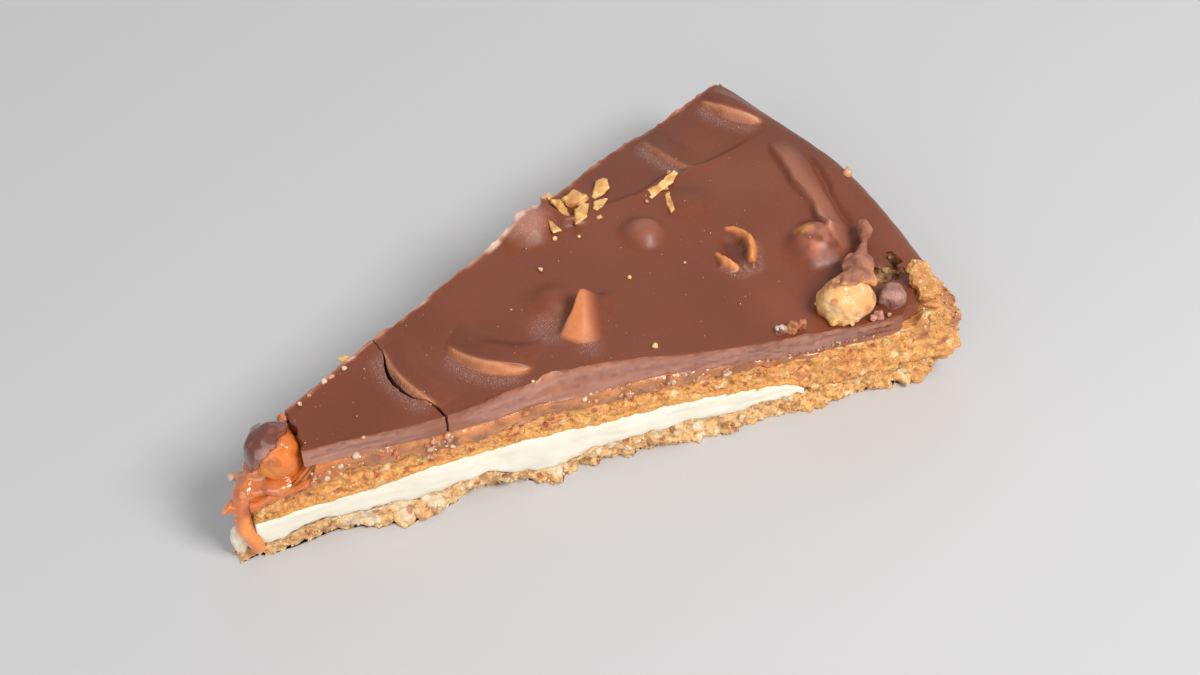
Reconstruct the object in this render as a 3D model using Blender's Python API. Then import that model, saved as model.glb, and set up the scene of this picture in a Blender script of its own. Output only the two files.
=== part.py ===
"""A slice of caramel peanut cake, as one wedge cut from a round cake.

From the table up: an almond crumb base, a cream filling, a second crumb layer, a thin caramel and
a plate of milk chocolate with peanuts under it. The wedge is laid out with the middle of the round
cake at (0, 0), its middle line along +X and its front cut on the -Y side. Sizes are in millimetres
until a mesh is made, which is in metres, with the origin under the middle of the slice.
"""
import math

import bmesh
import bpy
import numpy as np
from mathutils import Matrix, Vector, noise

MM = 0.001
GAP = 0.3
SHARP = math.radians(42)

# The wedge
HALF_ANGLE = math.radians(15)
CAKE_RADIUS = 129.4
MIDDLE_X = 66.9
RIM_WALL = 2.0
SHOULDER_START = 123.0
SHOULDER_DROP = 3.6
SKIRT_FOOT = 7.7
BARE_CORNER = -0.80
BREAK_FROM = (114.4, -30.9)
BREAK_TO = (127.4, -21.4)

# Heights of the layers, as (radius, height) along the front cut
PLATE_TOP_FRONT = ((15, 22.0), (78, 22.0), (92, 20.0), (104, 18.6), (130, 18.2))
PLATE_TOP_BACK = ((15, 22.0), (100, 22.0), (130, 21.0))
PLATE_BOTTOM = ((15, 19.6), (30, 19.1), (46, 18.7), (54, 19.5), (66, 18.9), (74, 19.0),
                (86, 17.4), (100, 14.9), (115, 14.2), (123, 14.8), (130, 14.8))
CARAMEL_BOTTOM = ((5, 11.6), (12, 13.2), (21, 15.6), (39, 15.0), (46, 15.3), (53, 16.6),
                  (66, 16.1), (86, 15.2), (100, 13.1), (130, 13.1))
CREAM_TOP = ((5, 8.3), (20, 9.5), (30, 10.1), (37, 11.2), (53, 11.7), (66, 10.9), (80, 10.6),
             (93, 8.9), (100, 7.4), (102.4, 5.9), (130, 5.9))
CREAM_BOTTOM = ((5, 3.0), (14, 4.0), (20, 5.1), (30, 4.9), (36, 4.4), (41, 5.6), (46, 5.0),
                (54, 3.3), (58, 3.5), (64, 4.8), (80, 5.3), (89, 4.6), (102, 4.8), (130, 4.8))
CARAMEL_REACH = 104.0
CREAM_REACH = 102.4
GLAZE = 1.3
GLAZE_ENDS = 18.0

# How far each layer stands out from the flat front cut, as (radius, distance)
BASE_FOOT_OUT = ((5, 0.0), (14, -0.3), (18, -1.2), (23, -0.5), (28, 0.5), (33, 2.0), (38, 0.9),
                 (41, -0.5), (54, -0.3), (58, 1.6), (62, 0.0), (82, 0.6), (105, 0.4), (123, 0.0),
                 (130, -1.0))
PLATE_SETBACK = ((15, 1.8), (24, 0.4), (46, 0.3), (52, 1.1), (59, 2.8), (68, 1.9), (76, 1.8),
                 (84, 0.9), (93, 0.2), (130, 0.2))

# Whole peanuts: middle, half sizes, and the turn of the long side about +Z
PEANUT_TIP = ((14.9, 0.6, 18.3), (3.9, 3.6, 4.7), -34)
PEANUT_SIDE = ((107.6, -24.3, 20.4), (5.3, 4.3, 4.2), -34)
# The side from which the chocolate shell covers the peanut at the tip
SHELL_SIDE = (-0.243, 0.840, 0.497)
SHELL_SHIFT = 0.9
SHELL_GROWTH = 0.9
SHELL_EDGE = 0.7


def smooth(x):
    """Rises smoothly from 0 to 1 as x does."""
    x = np.clip(x, 0.0, 1.0)
    return x * x * (3.0 - 2.0 * x)


def curve(points, x):
    """A smooth line through a few (x, height) points."""
    xs = np.array([p[0] for p in points], float)
    ys = np.array([p[1] for p in points], float)
    slopes = np.gradient(ys, xs)
    x = np.clip(x, xs[0], xs[-1])
    i = np.clip(np.searchsorted(xs, x) - 1, 0, len(xs) - 2)
    width = xs[i + 1] - xs[i]
    s = (x - xs[i]) / width
    rise = ys[i + 1] - ys[i]
    bend = s * (1 - s) * ((1 - s) * (slopes[i] * width - rise) - s * (slopes[i + 1] * width - rise))
    return ys[i] + s * rise + bend


def wander(points, size, seed):
    """Soft random waves of the given size, from about -1 to 1, at each point."""
    shift = Vector((seed * 7.3, seed * 3.1, seed * 5.7))
    return np.array([noise.noise(Vector(p) / size + shift) for p in points]) * 1.6


def grains(points, size, seed):
    """Packed rounded grains of the given size: 1 in the middle of a grain, 0 between them."""
    shift = Vector((seed * 5.1, seed * 8.7, seed * 2.3))
    near = [noise.voronoi(Vector(p) / size + shift)[0] for p in points]
    first = np.array([d[0] for d in near])
    second = np.array([d[1] for d in near])
    return np.clip((second - first) * 1.8, 0.0, 1.0) ** 0.6


def plate_top(r, t):
    """Height of the chocolate before its relief, where t is -1 at the front cut and 1 at the back."""
    back = smooth((t + 1) / 2)
    return curve(PLATE_TOP_FRONT, r) * (1 - back) + curve(PLATE_TOP_BACK, r) * back


def seam(points, r, t, phase):
    """Height of the seam between two layers: it waves differently along the back cut."""
    return curve(points, r) + (t + 1) * 0.3 * np.sin(r / 9.0 + phase)


def plate_seam(r, t):
    back = smooth((t + 1) / 2) * smooth((r - 84) / 30) * 2.2
    return seam(PLATE_BOTTOM, r, t, 0.0) + back


def caramel_seam(r, t):
    """Top of the second crumb layer: past the caramel it meets the chocolate, or lies bare."""
    under = seam(CARAMEL_BOTTOM, r, t, 1.5)
    thinning = smooth((r - CARAMEL_REACH + 9.0) / 9.0)
    beyond = smooth((r - CARAMEL_REACH - GAP) / 1.4)
    return under * (1 - thinning) + (plate_seam(r, t) - 0.9 + 0.75 * beyond) * thinning


def cream_seam(r, t):
    drop = smooth((r - CREAM_REACH - 0.3) / 1.6)
    return seam(CREAM_TOP, r, t, 3.0) * (1 - drop) + base_seam(r, t) * drop


def base_seam(r, t):
    return seam(CREAM_BOTTOM, r, t, 4.0)


def dome(x, y, place, size, turn, height, power=2.0):
    """A round bump: a higher power gives a flatter top and steeper sides."""
    c = math.cos(math.radians(turn))
    s = math.sin(math.radians(turn))
    a = ((x - place[0]) * c + (y - place[1]) * s) / size[0]
    b = ((y - place[1]) * c - (x - place[0]) * s) / size[1]
    return height * np.exp(-np.hypot(a, b) ** power)


def ledge(x, y, place, face, half, rise, tail, height, bow=0.0, lean=0.0):
    """Half a nut under the chocolate: one steep side, which looks along the angle face, and a long
    soft slope away from it."""
    c = math.cos(math.radians(face))
    s = math.sin(math.radians(face))
    out = (x - place[0]) * c + (y - place[1]) * s
    along = ((y - place[1]) * c - (x - place[0]) * s) / half
    out = out + bow * along ** 2
    across = np.where(out > 0, np.clip(1 - out / rise, 0, 1), smooth(1 + out / tail))
    ends = np.clip(1 - along ** 2, 0, 1) ** 0.7
    return height * across * ends * (1 + lean * along)


def fin(x, y):
    """A nut that stands on edge: its sloping face looks to the front cut, with a sharp left edge."""
    slope = 8.1
    ahead = (x - 64.2) * 0.622 + (y + 9.0) * 0.783
    across = (x - 64.2) * 0.783 - (y + 9.0) * 0.622
    half = 2.6 * np.clip(1 - ahead / slope, 0, 1)
    face = np.clip(0.12 + 0.88 * ahead / slope, 0, 1) * smooth(1 + ahead / 0.8)
    behind = np.clip((slope + 3.0 - ahead) / 3.0, 0, 1)
    left = smooth(1 - (-half - across) / 1.6)
    right = smooth(1 - (across - half) / 4.6)
    return 4.1 * face * behind * left * right


def crater(x, y):
    """A bump whose chocolate broke open: a bent lip round a hollow, highest at the right."""
    dx = (x - 98.2) / 3.2
    dy = (y + 6.0) / 4.3
    far = np.hypot(dx, dy)
    angle = np.arctan2(dy, dx)
    lip = 1.15 + 0.75 * np.cos(angle + 0.5) - 1.2 * np.exp(-((angle - 2.4) / 0.7) ** 2)
    ring = np.exp(-((far - 1.0) / 0.33) ** 2) * lip
    return ring - 0.7 * np.exp(-(far / 0.75) ** 4)


def distance_to_line(x, y, points):
    """Distance to a line through a few points, and how far along it, from 0 to 1."""
    best = np.full(np.shape(x), 1e9)
    along = np.zeros(np.shape(x))
    side = np.zeros(np.shape(x))
    count = len(points) - 1
    for i in range(count):
        ax, ay = points[i]
        bx, by = points[i + 1]
        length = math.hypot(bx - ax, by - ay)
        k = np.clip(((x - ax) * (bx - ax) + (y - ay) * (by - ay)) / length ** 2, 0, 1)
        d = np.hypot(x - ax - k * (bx - ax), y - ay - k * (by - ay))
        cross = ((bx - ax) * (y - ay) - (by - ay) * (x - ax)) / length
        along = np.where(d < best, (i + k) / count, along)
        side = np.where(d < best, cross, side)
        best = np.minimum(best, d)
    return best, along, side


RIDGE = ((121.6, 15.5), (119.6, 11.5), (116.6, 3.5), (114.0, -4.6), (113.0, -8.0))
GROOVE = ((125.0, 12.0), (123.6, 4.0), (120.8, -3.0), (119.3, -9.6), (119.0, -13.0))
FOLD = ((84.0, 14.5), (92.5, 13.9), (98.0, 15.0), (106.2, 15.3), (114.0, 13.2))
NUT_LIP = ((77.6, 22.0), (76.6, 18.9), (78.2, 15.2), (82.8, 13.6))


def relief(x, y):
    """Height that the nuts, folds and breaks add to the chocolate."""
    h = ledge(x, y, (37.2, -0.3), 184, 7.6, 0.6, 7.0, 2.0, bow=1.7)
    h += ledge(x, y, (49.2, -5.0), 215, 7.2, 1.3, 7.5, 2.5, bow=1.0)
    h += fin(x, y)
    h += dome(x, y, (66.2, 1.2), (3.5, 3.0), 0, 1.3, 2.6)
    h -= dome(x, y, (61.8, -4.6), (2.6, 2.4), 0, 0.7, 2.4)
    h += dome(x, y, (87.4, 6.4), (3.4, 3.2), 0, 1.7, 3.0)
    h += dome(x, y, (98.8, 8.4), (3.7, 3.2), 0, 1.0, 2.6)
    h += dome(x, y, (110.2, -12.9), (4.7, 4.4), 0, 3.6, 3.0)
    h += dome(x, y, (72.2, 17.6), (4.6, 3.8), 15, 2.4, 2.8)
    h += ledge(x, y, (118.0, 22.0), 205, 5.8, 1.8, 6.5, 2.6, bow=0.8)
    h += dome(x, y, (121.0, 20.0), (2.4, 2.2), 0, 1.0, 2.4)
    h += ledge(x, y, (102.3, 20.3), 202, 5.6, 1.4, 5.0, 1.6, bow=0.5)
    h += crater(x, y)
    near, along, _ = distance_to_line(x, y, FOLD)
    h += 0.5 * np.exp(-(near / 1.6) ** 2) * np.sin(np.pi * np.clip(along, 0.02, 0.98))
    near, along, _ = distance_to_line(x, y, NUT_LIP)
    h += 1.3 * np.exp(-(near / 1.0) ** 2) * smooth((1 - along) * 4)
    near, along, side = distance_to_line(x, y, RIDGE)
    band = np.where(side > 0, np.exp(-(near / 3.6) ** 3), smooth(1 - near / 1.0))
    h += 1.5 * band * smooth(along * 3.5) * smooth((1.0 - along) * 9 + 0.15)
    near, along, _ = distance_to_line(x, y, GROOVE)
    h -= 0.9 * np.exp(-(near / 0.8) ** 2) * smooth(along * 4) * smooth((1 - along) * 6)
    h -= dome(x, y, (118.3, -18.6), (2.6, 3.4), 30, 2.2, 3.5)
    return h


def past_break(x, y):
    """How far a place lies beyond the line where the chocolate's corner broke away."""
    run = Vector(BREAK_TO) - Vector(BREAK_FROM)
    return ((x - BREAK_FROM[0]) * run.y - (y - BREAK_FROM[1]) * run.x) / run.length


def box_surface(steps):
    """Whole-number places on a box's outside, and the quads that join them, facing out."""
    quads = []
    for axis in range(3):
        a = (axis + 1) % 3
        b = (axis + 2) % 3
        i, j = np.meshgrid(np.arange(steps[a]), np.arange(steps[b]), indexing="ij")
        for end in (0, 1):
            ring = np.zeros(i.shape + (4, 3), int)
            for corner, (di, dj) in enumerate(((0, 0), (1, 0), (1, 1), (0, 1))):
                ring[..., corner, a] = i + di
                ring[..., corner, b] = j + dj
            ring[..., axis] = end * steps[axis]
            quads.append((ring if end else ring[:, :, ::-1]).reshape(-1, 4, 3))
    corners = np.concatenate(quads).reshape(-1, 3)
    code = (corners[:, 0] * 1000 + corners[:, 1]) * 1000 + corners[:, 2]
    _, first, index = np.unique(code, return_index=True, return_inverse=True)
    return corners[first], index.reshape(-1, 4)


def material(name, colour, roughness):
    made = bpy.data.materials.new(name)
    made.use_nodes = True
    shader = made.node_tree.nodes["Principled BSDF"]
    shader.inputs["Base Color"].default_value = (*colour, 1.0)
    shader.inputs["Roughness"].default_value = roughness
    shader.inputs["Metallic"].default_value = 0.0
    return made


def add_object(name, points, faces, finish=None):
    """A mesh object from points in millimetres."""
    mesh = bpy.data.meshes.new(name)
    placed = (np.asarray(points, float) - (MIDDLE_X, 0, 0)) * MM
    mesh.from_pydata(placed.tolist(), [], [list(map(int, f)) for f in faces])
    mesh.validate()
    obj = bpy.data.objects.new(name, mesh)
    bpy.context.scene.collection.objects.link(obj)
    if finish:
        mesh.materials.append(finish)
        mesh.shade_smooth()
    else:
        obj.hide_render = True
        obj.display_type = "WIRE"
    return obj


def apply_modifiers(obj):
    graph = bpy.context.evaluated_depsgraph_get()
    made = bpy.data.meshes.new_from_object(obj.evaluated_get(graph))
    obj.modifiers.clear()
    obj.data = made


def thin_out(obj, triangles):
    """Keeps about this many triangles, most of them where the surface bends."""
    now = sum(len(p.vertices) - 2 for p in obj.data.polygons)
    if now > triangles:
        obj.modifiers.new("fewer", "DECIMATE").ratio = triangles / now
        apply_modifiers(obj)


def drop_slivers(obj):
    """Removes the faces of no width that a cut leaves."""
    shape = bmesh.new()
    shape.from_mesh(obj.data)
    bmesh.ops.triangulate(shape, faces=shape.faces)
    bmesh.ops.dissolve_degenerate(shape, dist=0.01 * MM, edges=shape.edges)
    shape.to_mesh(obj.data)
    shape.free()


def cut(obj, *cutters):
    for cutter in cutters:
        step = obj.modifiers.new("cut", "BOOLEAN")
        step.operation = "DIFFERENCE"
        step.object = cutter
    apply_modifiers(obj)
    drop_slivers(obj)


def fuse(obj, pieces):
    """Joins the pieces to the object as one body, then removes them."""
    group = bpy.data.collections.new("to_fuse")
    bpy.context.scene.collection.children.link(group)
    for piece in pieces:
        bpy.context.scene.collection.objects.unlink(piece)
        group.objects.link(piece)
    step = obj.modifiers.new("fuse", "BOOLEAN")
    step.operation = "UNION"
    step.operand_type = "COLLECTION"
    step.collection = group
    apply_modifiers(obj)
    drop_slivers(obj)
    for piece in pieces:
        bpy.data.objects.remove(piece)
    bpy.data.collections.remove(group)


def polar(r, t, z):
    angle = t * HALF_ANGLE
    return np.stack([r * np.cos(angle), r * np.sin(angle), z], -1)


FRONT_OUT = np.array([-math.sin(HALF_ANGLE), -math.cos(HALF_ANGLE), 0.0])
BACK_OUT = np.array([-math.sin(HALF_ANGLE), math.cos(HALF_ANGLE), 0.0])
FADE = 3.5


def push_sides(points, r, t, front, back, rim, rim_radius):
    """Moves the cut sides and the rim outward by the given distances, fading to nothing inside."""
    from_front = r * np.sin(np.clip((1 + t) * HALF_ANGLE, 0, 1.5))
    from_back = r * np.sin(np.clip((1 - t) * HALF_ANGLE, 0, 1.5))
    radial = points * (1, 1, 0)
    radial = radial / np.linalg.norm(radial, axis=1, keepdims=True)
    moved = points + (front * np.exp(-from_front / FADE))[:, None] * FRONT_OUT
    moved = moved + (back * np.exp(-from_back / FADE))[:, None] * BACK_OUT
    return moved + (rim * np.exp(-(rim_radius - r) / FADE))[:, None] * radial


def slab(name, steps, inner, outer, lower, upper, push, finish):
    """A layer between two seams, from the tip to the rim."""
    places, quads = box_surface(steps)
    u, v, w = (places / steps).T
    t = 2 * v - 1
    inside = inner(t, w)
    outside = outer(t, w)
    r = inside + (outside - inside) * u
    z = lower(r, t)
    z = z + (upper(r, t) - z) * w
    points = polar(r, t, z)
    front, back, rim = push(points, r, t, z)
    return add_object(name, push_sides(points, r, t, front, back, rim, outside), quads, finish)


def crumb_sides(points, depth, seed):
    """Uneven crumb on a cut: grains of two sizes over soft waves."""
    coarse = grains(points, 3.4, seed) - 0.5
    fine = grains(points, 1.7, seed + 1) - 0.5
    return depth * (0.9 * coarse + 0.5 * fine + 0.5 * wander(points, 6.0, seed + 2))


def almond_base():
    def push(points, r, t, z):
        low = smooth(1.0 - z / 4.2)
        rough = crumb_sides(points, 1.0, 1) * (0.4 + 0.8 * low) - 0.25
        foot = curve(BASE_FOOT_OUT, r) * low
        back_foot = 0.9 * np.sin(r / 6.0) * low
        return rough + foot, rough + back_foot, rough - 0.4 * smooth(1 - z / 2.0)

    return slab("almond_base", (100, 34, 4), lambda t, w: 8.0 + 0 * t, lambda t, w: CAKE_RADIUS + 0 * t,
                lambda r, t: 0 * r, lambda r, t: base_seam(r, t) - GAP / 2, push,
                material("almond_crumb_pale", (0.48, 0.27, 0.12), 0.85))


def cream_filling():
    def push(points, r, t, z):
        soft = 0.3 * wander(points, 9.0, 11)
        return soft, soft, 0 * r

    made = slab("cream_filling", (90, 24, 3), lambda t, w: 6.4 + 0 * t, lambda t, w: CREAM_REACH - 0.4 + 0 * t,
                lambda r, t: base_seam(r, t) + GAP / 2, lambda r, t: cream_seam(r, t) - GAP / 2, push,
                material("cream", (0.86, 0.79, 0.62), 0.45))
    thin_out(made, 750)
    smear = blob("smear", ((5.9, 0.5, 3.4), (1.2, 1.6, 2.9), 0), 2, 0.1, 12)
    fuse(made, [smear])
    return made


def upper_crumb():
    def covered(t):
        return smooth((t - BARE_CORNER) / 0.05)

    def rim_radius(t, w):
        return CAKE_RADIUS - (RIM_WALL + GAP) * covered(t) * smooth((w - 0.02) / 0.10)

    def top(r, t):
        z = caramel_seam(r, t) - GAP / 2
        wall = CAKE_RADIUS - RIM_WALL - GAP - SHOULDER_START
        over = np.clip((r - SHOULDER_START) / wall, 0, 1)
        round_off = SHOULDER_DROP * (1 - np.sqrt(np.clip(1 - over ** 2, 0.0, 1)))
        x, y, _ = polar(r, t, z).T
        bare = smooth((past_break(x, y) - 1.6) / 1.6)
        lift = bare * (1.3 + 1.5 * grains(polar(r, t, z), 2.6, 25))
        lift = lift - 1.8 * (1 - covered(t)) * smooth((r - 125.5) / 4.0)
        return z - round_off * covered(t) + lift

    def push(points, r, t, z):
        rough = crumb_sides(points, 0.65, 21)
        return rough, rough, rough * 0.9 * (1 - covered(t) * smooth((z - 4.9) / 1.0))

    made = slab("upper_crumb", (104, 40, 7), lambda t, w: 8.6 + 0.8 * w, rim_radius,
                lambda r, t: cream_seam(r, t) + GAP / 2, top, push,
                material("almond_crumb_golden", (0.50, 0.24, 0.07), 0.8))
    return made


def caramel():
    def top(r, t):
        under = caramel_seam(r, t)
        glaze = smooth((GLAZE_ENDS + 1.6 - r) / 1.6)
        return (plate_seam(r, t) - GAP / 2) * (1 - glaze) + (under + GLAZE) * glaze

    def push(points, r, t, z):
        sag = 0.35 + 0.35 * wander(points, 7.0, 31)
        return sag, sag, 0 * r

    made = slab("caramel", (90, 24, 3), lambda t, w: 8.2 + 0 * t, lambda t, w: CARAMEL_REACH + 0 * t,
                lambda r, t: caramel_seam(r, t) + GAP / 2, top, push,
                material("caramel", (0.45, 0.17, 0.035), 0.2))
    thin_out(made, 850)
    fuse(made, drip(0.0))
    return made


# The caramel that ran down over the tip: places along it and its half width there
DRIP = (((11.2, 0.9, 13.6), 1.5), ((9.3, 1.2, 13.2), 2.3), ((8.1, 1.0, 11.4), 2.0), ((7.3, 0.4, 9.2), 1.5),
        ((7.1, -0.1, 7.2), 1.5), ((7.6, -0.8, 5.2), 1.6), ((8.1, -1.7, 3.2), 1.2), ((7.9, -2.2, 1.5), 0.6))
SPIKE = (((7.9, 1.1, 11.9), 1.5), ((6.3, 1.3, 11.2), 1.1), ((5.2, 1.3, 10.8), 0.6), ((4.3, 1.3, 10.5), 0.2))


def drip(extra):
    return [tube(name, [place for place, _ in strand], [half + extra for _, half in strand])
            for name, strand in (("drip", DRIP), ("spike", SPIKE))]


def chocolate(nuts):
    rows = (118, 6, 7)
    steps = (sum(rows), 60, 3)
    places, quads = box_surface(steps)
    i, j, k = places.T
    t = 2 * j / steps[1] - 1
    w = k / steps[2]
    tip = 18.6 + 0.9 * t + 0.25 * np.sin(t * 9)
    flat = np.clip(i / rows[0], 0, 1)
    turn = np.clip((i - rows[0]) / rows[1], 0, 1) * math.pi / 2
    down = np.clip((i - rows[0] - rows[1]) / rows[2], 0, 1)
    r = tip + (SHOULDER_START - tip) * flat
    outer_top = plate_top(r, t)
    inner_top = plate_seam(r, t) + GAP / 2
    reach = CAKE_RADIUS - SHOULDER_START
    outer_r = r + reach * np.sin(turn)
    inner_r = r + (reach - RIM_WALL) * np.sin(turn)
    foot = SKIRT_FOOT + 0.8 * np.sin(t * 7 + 1) + 0.5 * np.sin(t * 17)
    outer_z = outer_top - SHOULDER_DROP * (1 - np.cos(turn))
    inner_z = inner_top - SHOULDER_DROP * (1 - np.cos(turn))
    outer_z = outer_z + (foot - outer_z) * down
    inner_z = inner_z + (foot + 0.4 - inner_z) * down
    outside = polar(outer_r, t, outer_z)
    inside = polar(inner_r, t, inner_z)
    fade = 1 - smooth((outer_r - SHOULDER_START) / reach)
    outside[:, 2] += relief(outside[:, 0], outside[:, 1]) * fade
    outside[:, 2] += 0.12 * wander(outside * (1, 1, 0), 14.0, 41)
    points = inside + (outside - inside) * w[:, None]
    setback = -curve(PLATE_SETBACK, r) * w
    streaks = 0.12 * np.sin(points[:, 2] * 5.0 + wander(points, 12.0, 42))
    ragged = 0.15 * wander(points, 2.6, 43) * w
    points = push_sides(points, outer_r, t, setback + streaks + ragged, streaks + ragged, 0 * r,
                        CAKE_RADIUS + 9)
    made = add_object("chocolate", points, quads, material("milk_chocolate", (0.22, 0.075, 0.04), 0.35))
    thin_out(made, 4560)
    fuse(made, chocolate_bits())
    cut(made, crack_blade(), corner_cutter(), *[swollen(nut) for nut in nuts])


def crack_blade():
    """A thin wavy wall that splits the plate from the front cut to behind its middle."""
    route = ((37.3, 7.0), (36.2, 3.0), (35.9, -0.6), (36.9, -4.0), (38.4, -6.4), (38.7, -9.0), (39.3, -12.5))
    widths = (0.08, 0.30, 0.34, 0.30, 0.26, 0.24, 0.24)
    points = []
    for (x, y), half in zip(route, widths):
        points += [(x - half, y, 17.0), (x + half, y, 17.0), (x + half, y, 27.0), (x - half, y, 27.0)]
    faces = [(0, 1, 2, 3)]
    for i in range(len(route) - 1):
        for a in range(4):
            b = (a + 1) % 4
            faces.append((4 * i + a, 4 * i + 4 + a, 4 * i + 4 + b, 4 * i + b))
    last = 4 * (len(route) - 1)
    faces.append((last + 3, last + 2, last + 1, last))
    made = add_object("crack_blade", points, faces)
    face_out(made)
    return made


def corner_cutter():
    """The corner where the chocolate broke away, as an upright block with one ragged side."""
    edge = ((111.0, -34.0), (114.6, -30.9), (116.3, -29.6), (118.7, -29.9), (119.6, -27.4), (121.4, -26.6),
            (122.3, -24.4), (124.2, -24.0), (125.3, -21.7), (127.3, -21.6), (132.0, -19.5), (140.0, -40.0))
    count = len(edge)
    points = [(x, y, 4.0) for x, y in edge] + [(x, y, 30.0) for x, y in edge]
    faces = [tuple(range(count))[::-1], tuple(range(count, 2 * count))]
    for a in range(count):
        b = (a + 1) % count
        faces.append((a, b, b + count, a + count))
    made = add_object("corner_cutter", points, faces)
    face_out(made)
    return made


def face_out(obj):
    shape = bmesh.new()
    shape.from_mesh(obj.data)
    bmesh.ops.recalc_face_normals(shape, faces=shape.faces)
    shape.to_mesh(obj.data)
    shape.free()


def swollen(obj, by=GAP):
    """A larger copy of a piece, which cuts room for it."""
    mesh = obj.data.copy()
    mesh.materials.clear()
    outward = [corner.normal.copy() for corner in mesh.vertices]
    for corner, way in zip(mesh.vertices, outward):
        corner.co += way * by * MM
    made = bpy.data.objects.new(f"room_{obj.name}", mesh)
    bpy.context.scene.collection.objects.link(made)
    made.hide_render = True
    made.display_type = "WIRE"
    return made


def blob(name, shape, level, rough=0.0, seed=0, finish=None):
    """A nut, lump or flake: a ball stretched to its half sizes and made uneven."""
    place, half, turn = shape
    ball = bmesh.new()
    bmesh.ops.create_icosphere(ball, subdivisions=level, radius=1.0)
    points = np.array([v.co[:] for v in ball.verts])
    faces = [[v.index for v in f.verts] for f in ball.faces]
    ball.free()
    if rough:
        points = points * (1 + rough * wander(points, 0.9, seed))[:, None]
    spin = np.array(Matrix.Rotation(math.radians(turn), 3, "Z"))
    return add_object(name, (points * half) @ spin.T + place, faces, finish)


def tube(name, route, widths, sides=8):
    """A round strand of changing width along a route."""
    route = np.array(route, float)
    points = []
    for i, middle in enumerate(route):
        ahead = Vector(route[min(i + 1, len(route) - 1)] - route[max(i - 1, 0)]).normalized()
        across = ahead.cross(Vector((0.3, 1.0, 0.1))).normalized()
        other = ahead.cross(across)
        for a in range(sides):
            angle = 2 * math.pi * a / sides
            ring = (across * math.cos(angle) + other * math.sin(angle)) * widths[i]
            points.append(middle + np.array(ring))
    faces = [tuple(range(sides))[::-1], tuple(range(len(points) - sides, len(points)))]
    for i in range(len(route) - 1):
        for a in range(sides):
            b = (a + 1) % sides
            faces.append((sides * i + a, sides * i + b, sides * i + sides + b, sides * i + sides + a))
    made = add_object(name, points, faces)
    face_out(made)
    return made


def shard(name, outline, thick, place, turn, tilt, finish=None):
    """A broken piece: a flat body with worn edges, laid out from above, then tilted and turned."""
    outline = np.array(outline, float)
    sides = len(outline)
    middle = outline.mean(axis=0)
    points = [(*middle, -thick)]
    for height, size in ((-1.0, 0.72), (0.1, 1.0), (1.0, 0.78)):
        for a, b in middle + (outline - middle) * size:
            points.append((a, b, height * thick))
    points.append((*middle, thick * 1.15))
    top = len(points) - 1
    faces = []
    for i in range(sides):
        j = (i + 1) % sides
        faces.append((0, 1 + j, 1 + i))
        faces.append((1 + i, 1 + j, 1 + sides + j, 1 + sides + i))
        faces.append((1 + sides + i, 1 + sides + j, 1 + 2 * sides + j, 1 + 2 * sides + i))
        faces.append((1 + 2 * sides + i, 1 + 2 * sides + j, top))
    spin = Matrix.Rotation(math.radians(turn), 3, "Z") @ Matrix.Rotation(math.radians(tilt), 3, "X")
    made = add_object(name, np.array(points) @ np.array(spin).T + place, faces, finish)
    face_out(made)
    return made


def ragged(half, seed, sides=7):
    """An uneven outline inside the given half sizes."""
    draw = np.random.default_rng(seed)
    angle = (np.arange(sides) + draw.uniform(-0.3, 0.3, sides)) * 2 * math.pi / sides
    reach = draw.uniform(0.72, 1.05, sides)
    return np.stack([half[0] * reach * np.cos(angle), half[1] * reach * np.sin(angle)], -1)


# Golden chips on the plate: x, y, half sizes, turn
CHIPS = ((87.2, 18.2, 2.3, 1.5, 25), (85.3, 15.2, 1.7, 1.1, 20), (76.4, 15.4, 1.6, 1.0, -60),
         (79.3, 12.1, 0.9, 0.8, 0), (94.9, 13.2, 1.9, 1.0, 25), (98.6, 15.4, 2.1, 1.1, 35),
         (96.4, 10.9, 1.6, 1.0, 85), (78.6, 20.3, 1.3, 0.9, 20))
# Outlines as they show from the front: brittle at the outer corner, and the chocolate torn open
# over the peanut in the side
BRITTLE = ((-2.2, 3.6), (0.1, 3.1), (1.2, 2.2), (1.5, 0.7), (3.2, -0.5), (3.0, -2.7), (1.5, -3.7),
           (-1.0, -3.4), (-1.1, -1.7), (-2.5, -0.7), (-2.6, 1.0), (-3.3, 1.6))
FLAP = ((-2.5, 0.9), (-1.5, 0.7), (-0.6, 2.0), (0.3, 2.9), (1.9, 2.8), (2.4, 1.2), (2.0, -0.6),
        (2.3, -2.6), (0.6, -2.1), (-1.8, -1.9))


def chocolate_bits():
    """Chips, the torn chocolate round the bare peanut, and crumbs along the front edge."""
    bits = []
    for n, (x, y, long, short, turn) in enumerate(CHIPS):
        t = math.atan2(y, x) / HALF_ANGLE
        z = float(plate_top(math.hypot(x, y), t) + relief(np.array(x), np.array(y)))
        bits.append(shard(f"chip_{n}", ragged((long, short), 60 + n), 0.55, (x, y, z + 0.3), turn, 8))
    curl = ((117.2, -7.2, 19.4), (117.4, -9.6, 20.2), (116.8, -12.0, 20.6), (115.6, -14.6, 21.2),
            (114.6, -17.4, 21.6))
    bits.append(tube("curl", curl, (0.9, 1.2, 0.8, 0.9, 1.2)))
    bits.append(shard("flap", FLAP, 0.55, (112.6, -19.0, 21.9), -34, 40))
    bits.append(shard("flap_root", ragged((3.0, 2.2), 83), 1.9, (113.9, -17.3, 20.6), -34, 20))
    for n, (x, y, half) in enumerate(((95.0, -23.3, 1.1), (96.8, -23.7, 1.5), (98.7, -24.2, 1.2))):
        bits.append(shard(f"edge_crumb_{n}", ragged((half, 0.8 * half), 90 + n), 0.9,
                          (x, y, 19.4), 40 * n, 15))
    return bits


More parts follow.
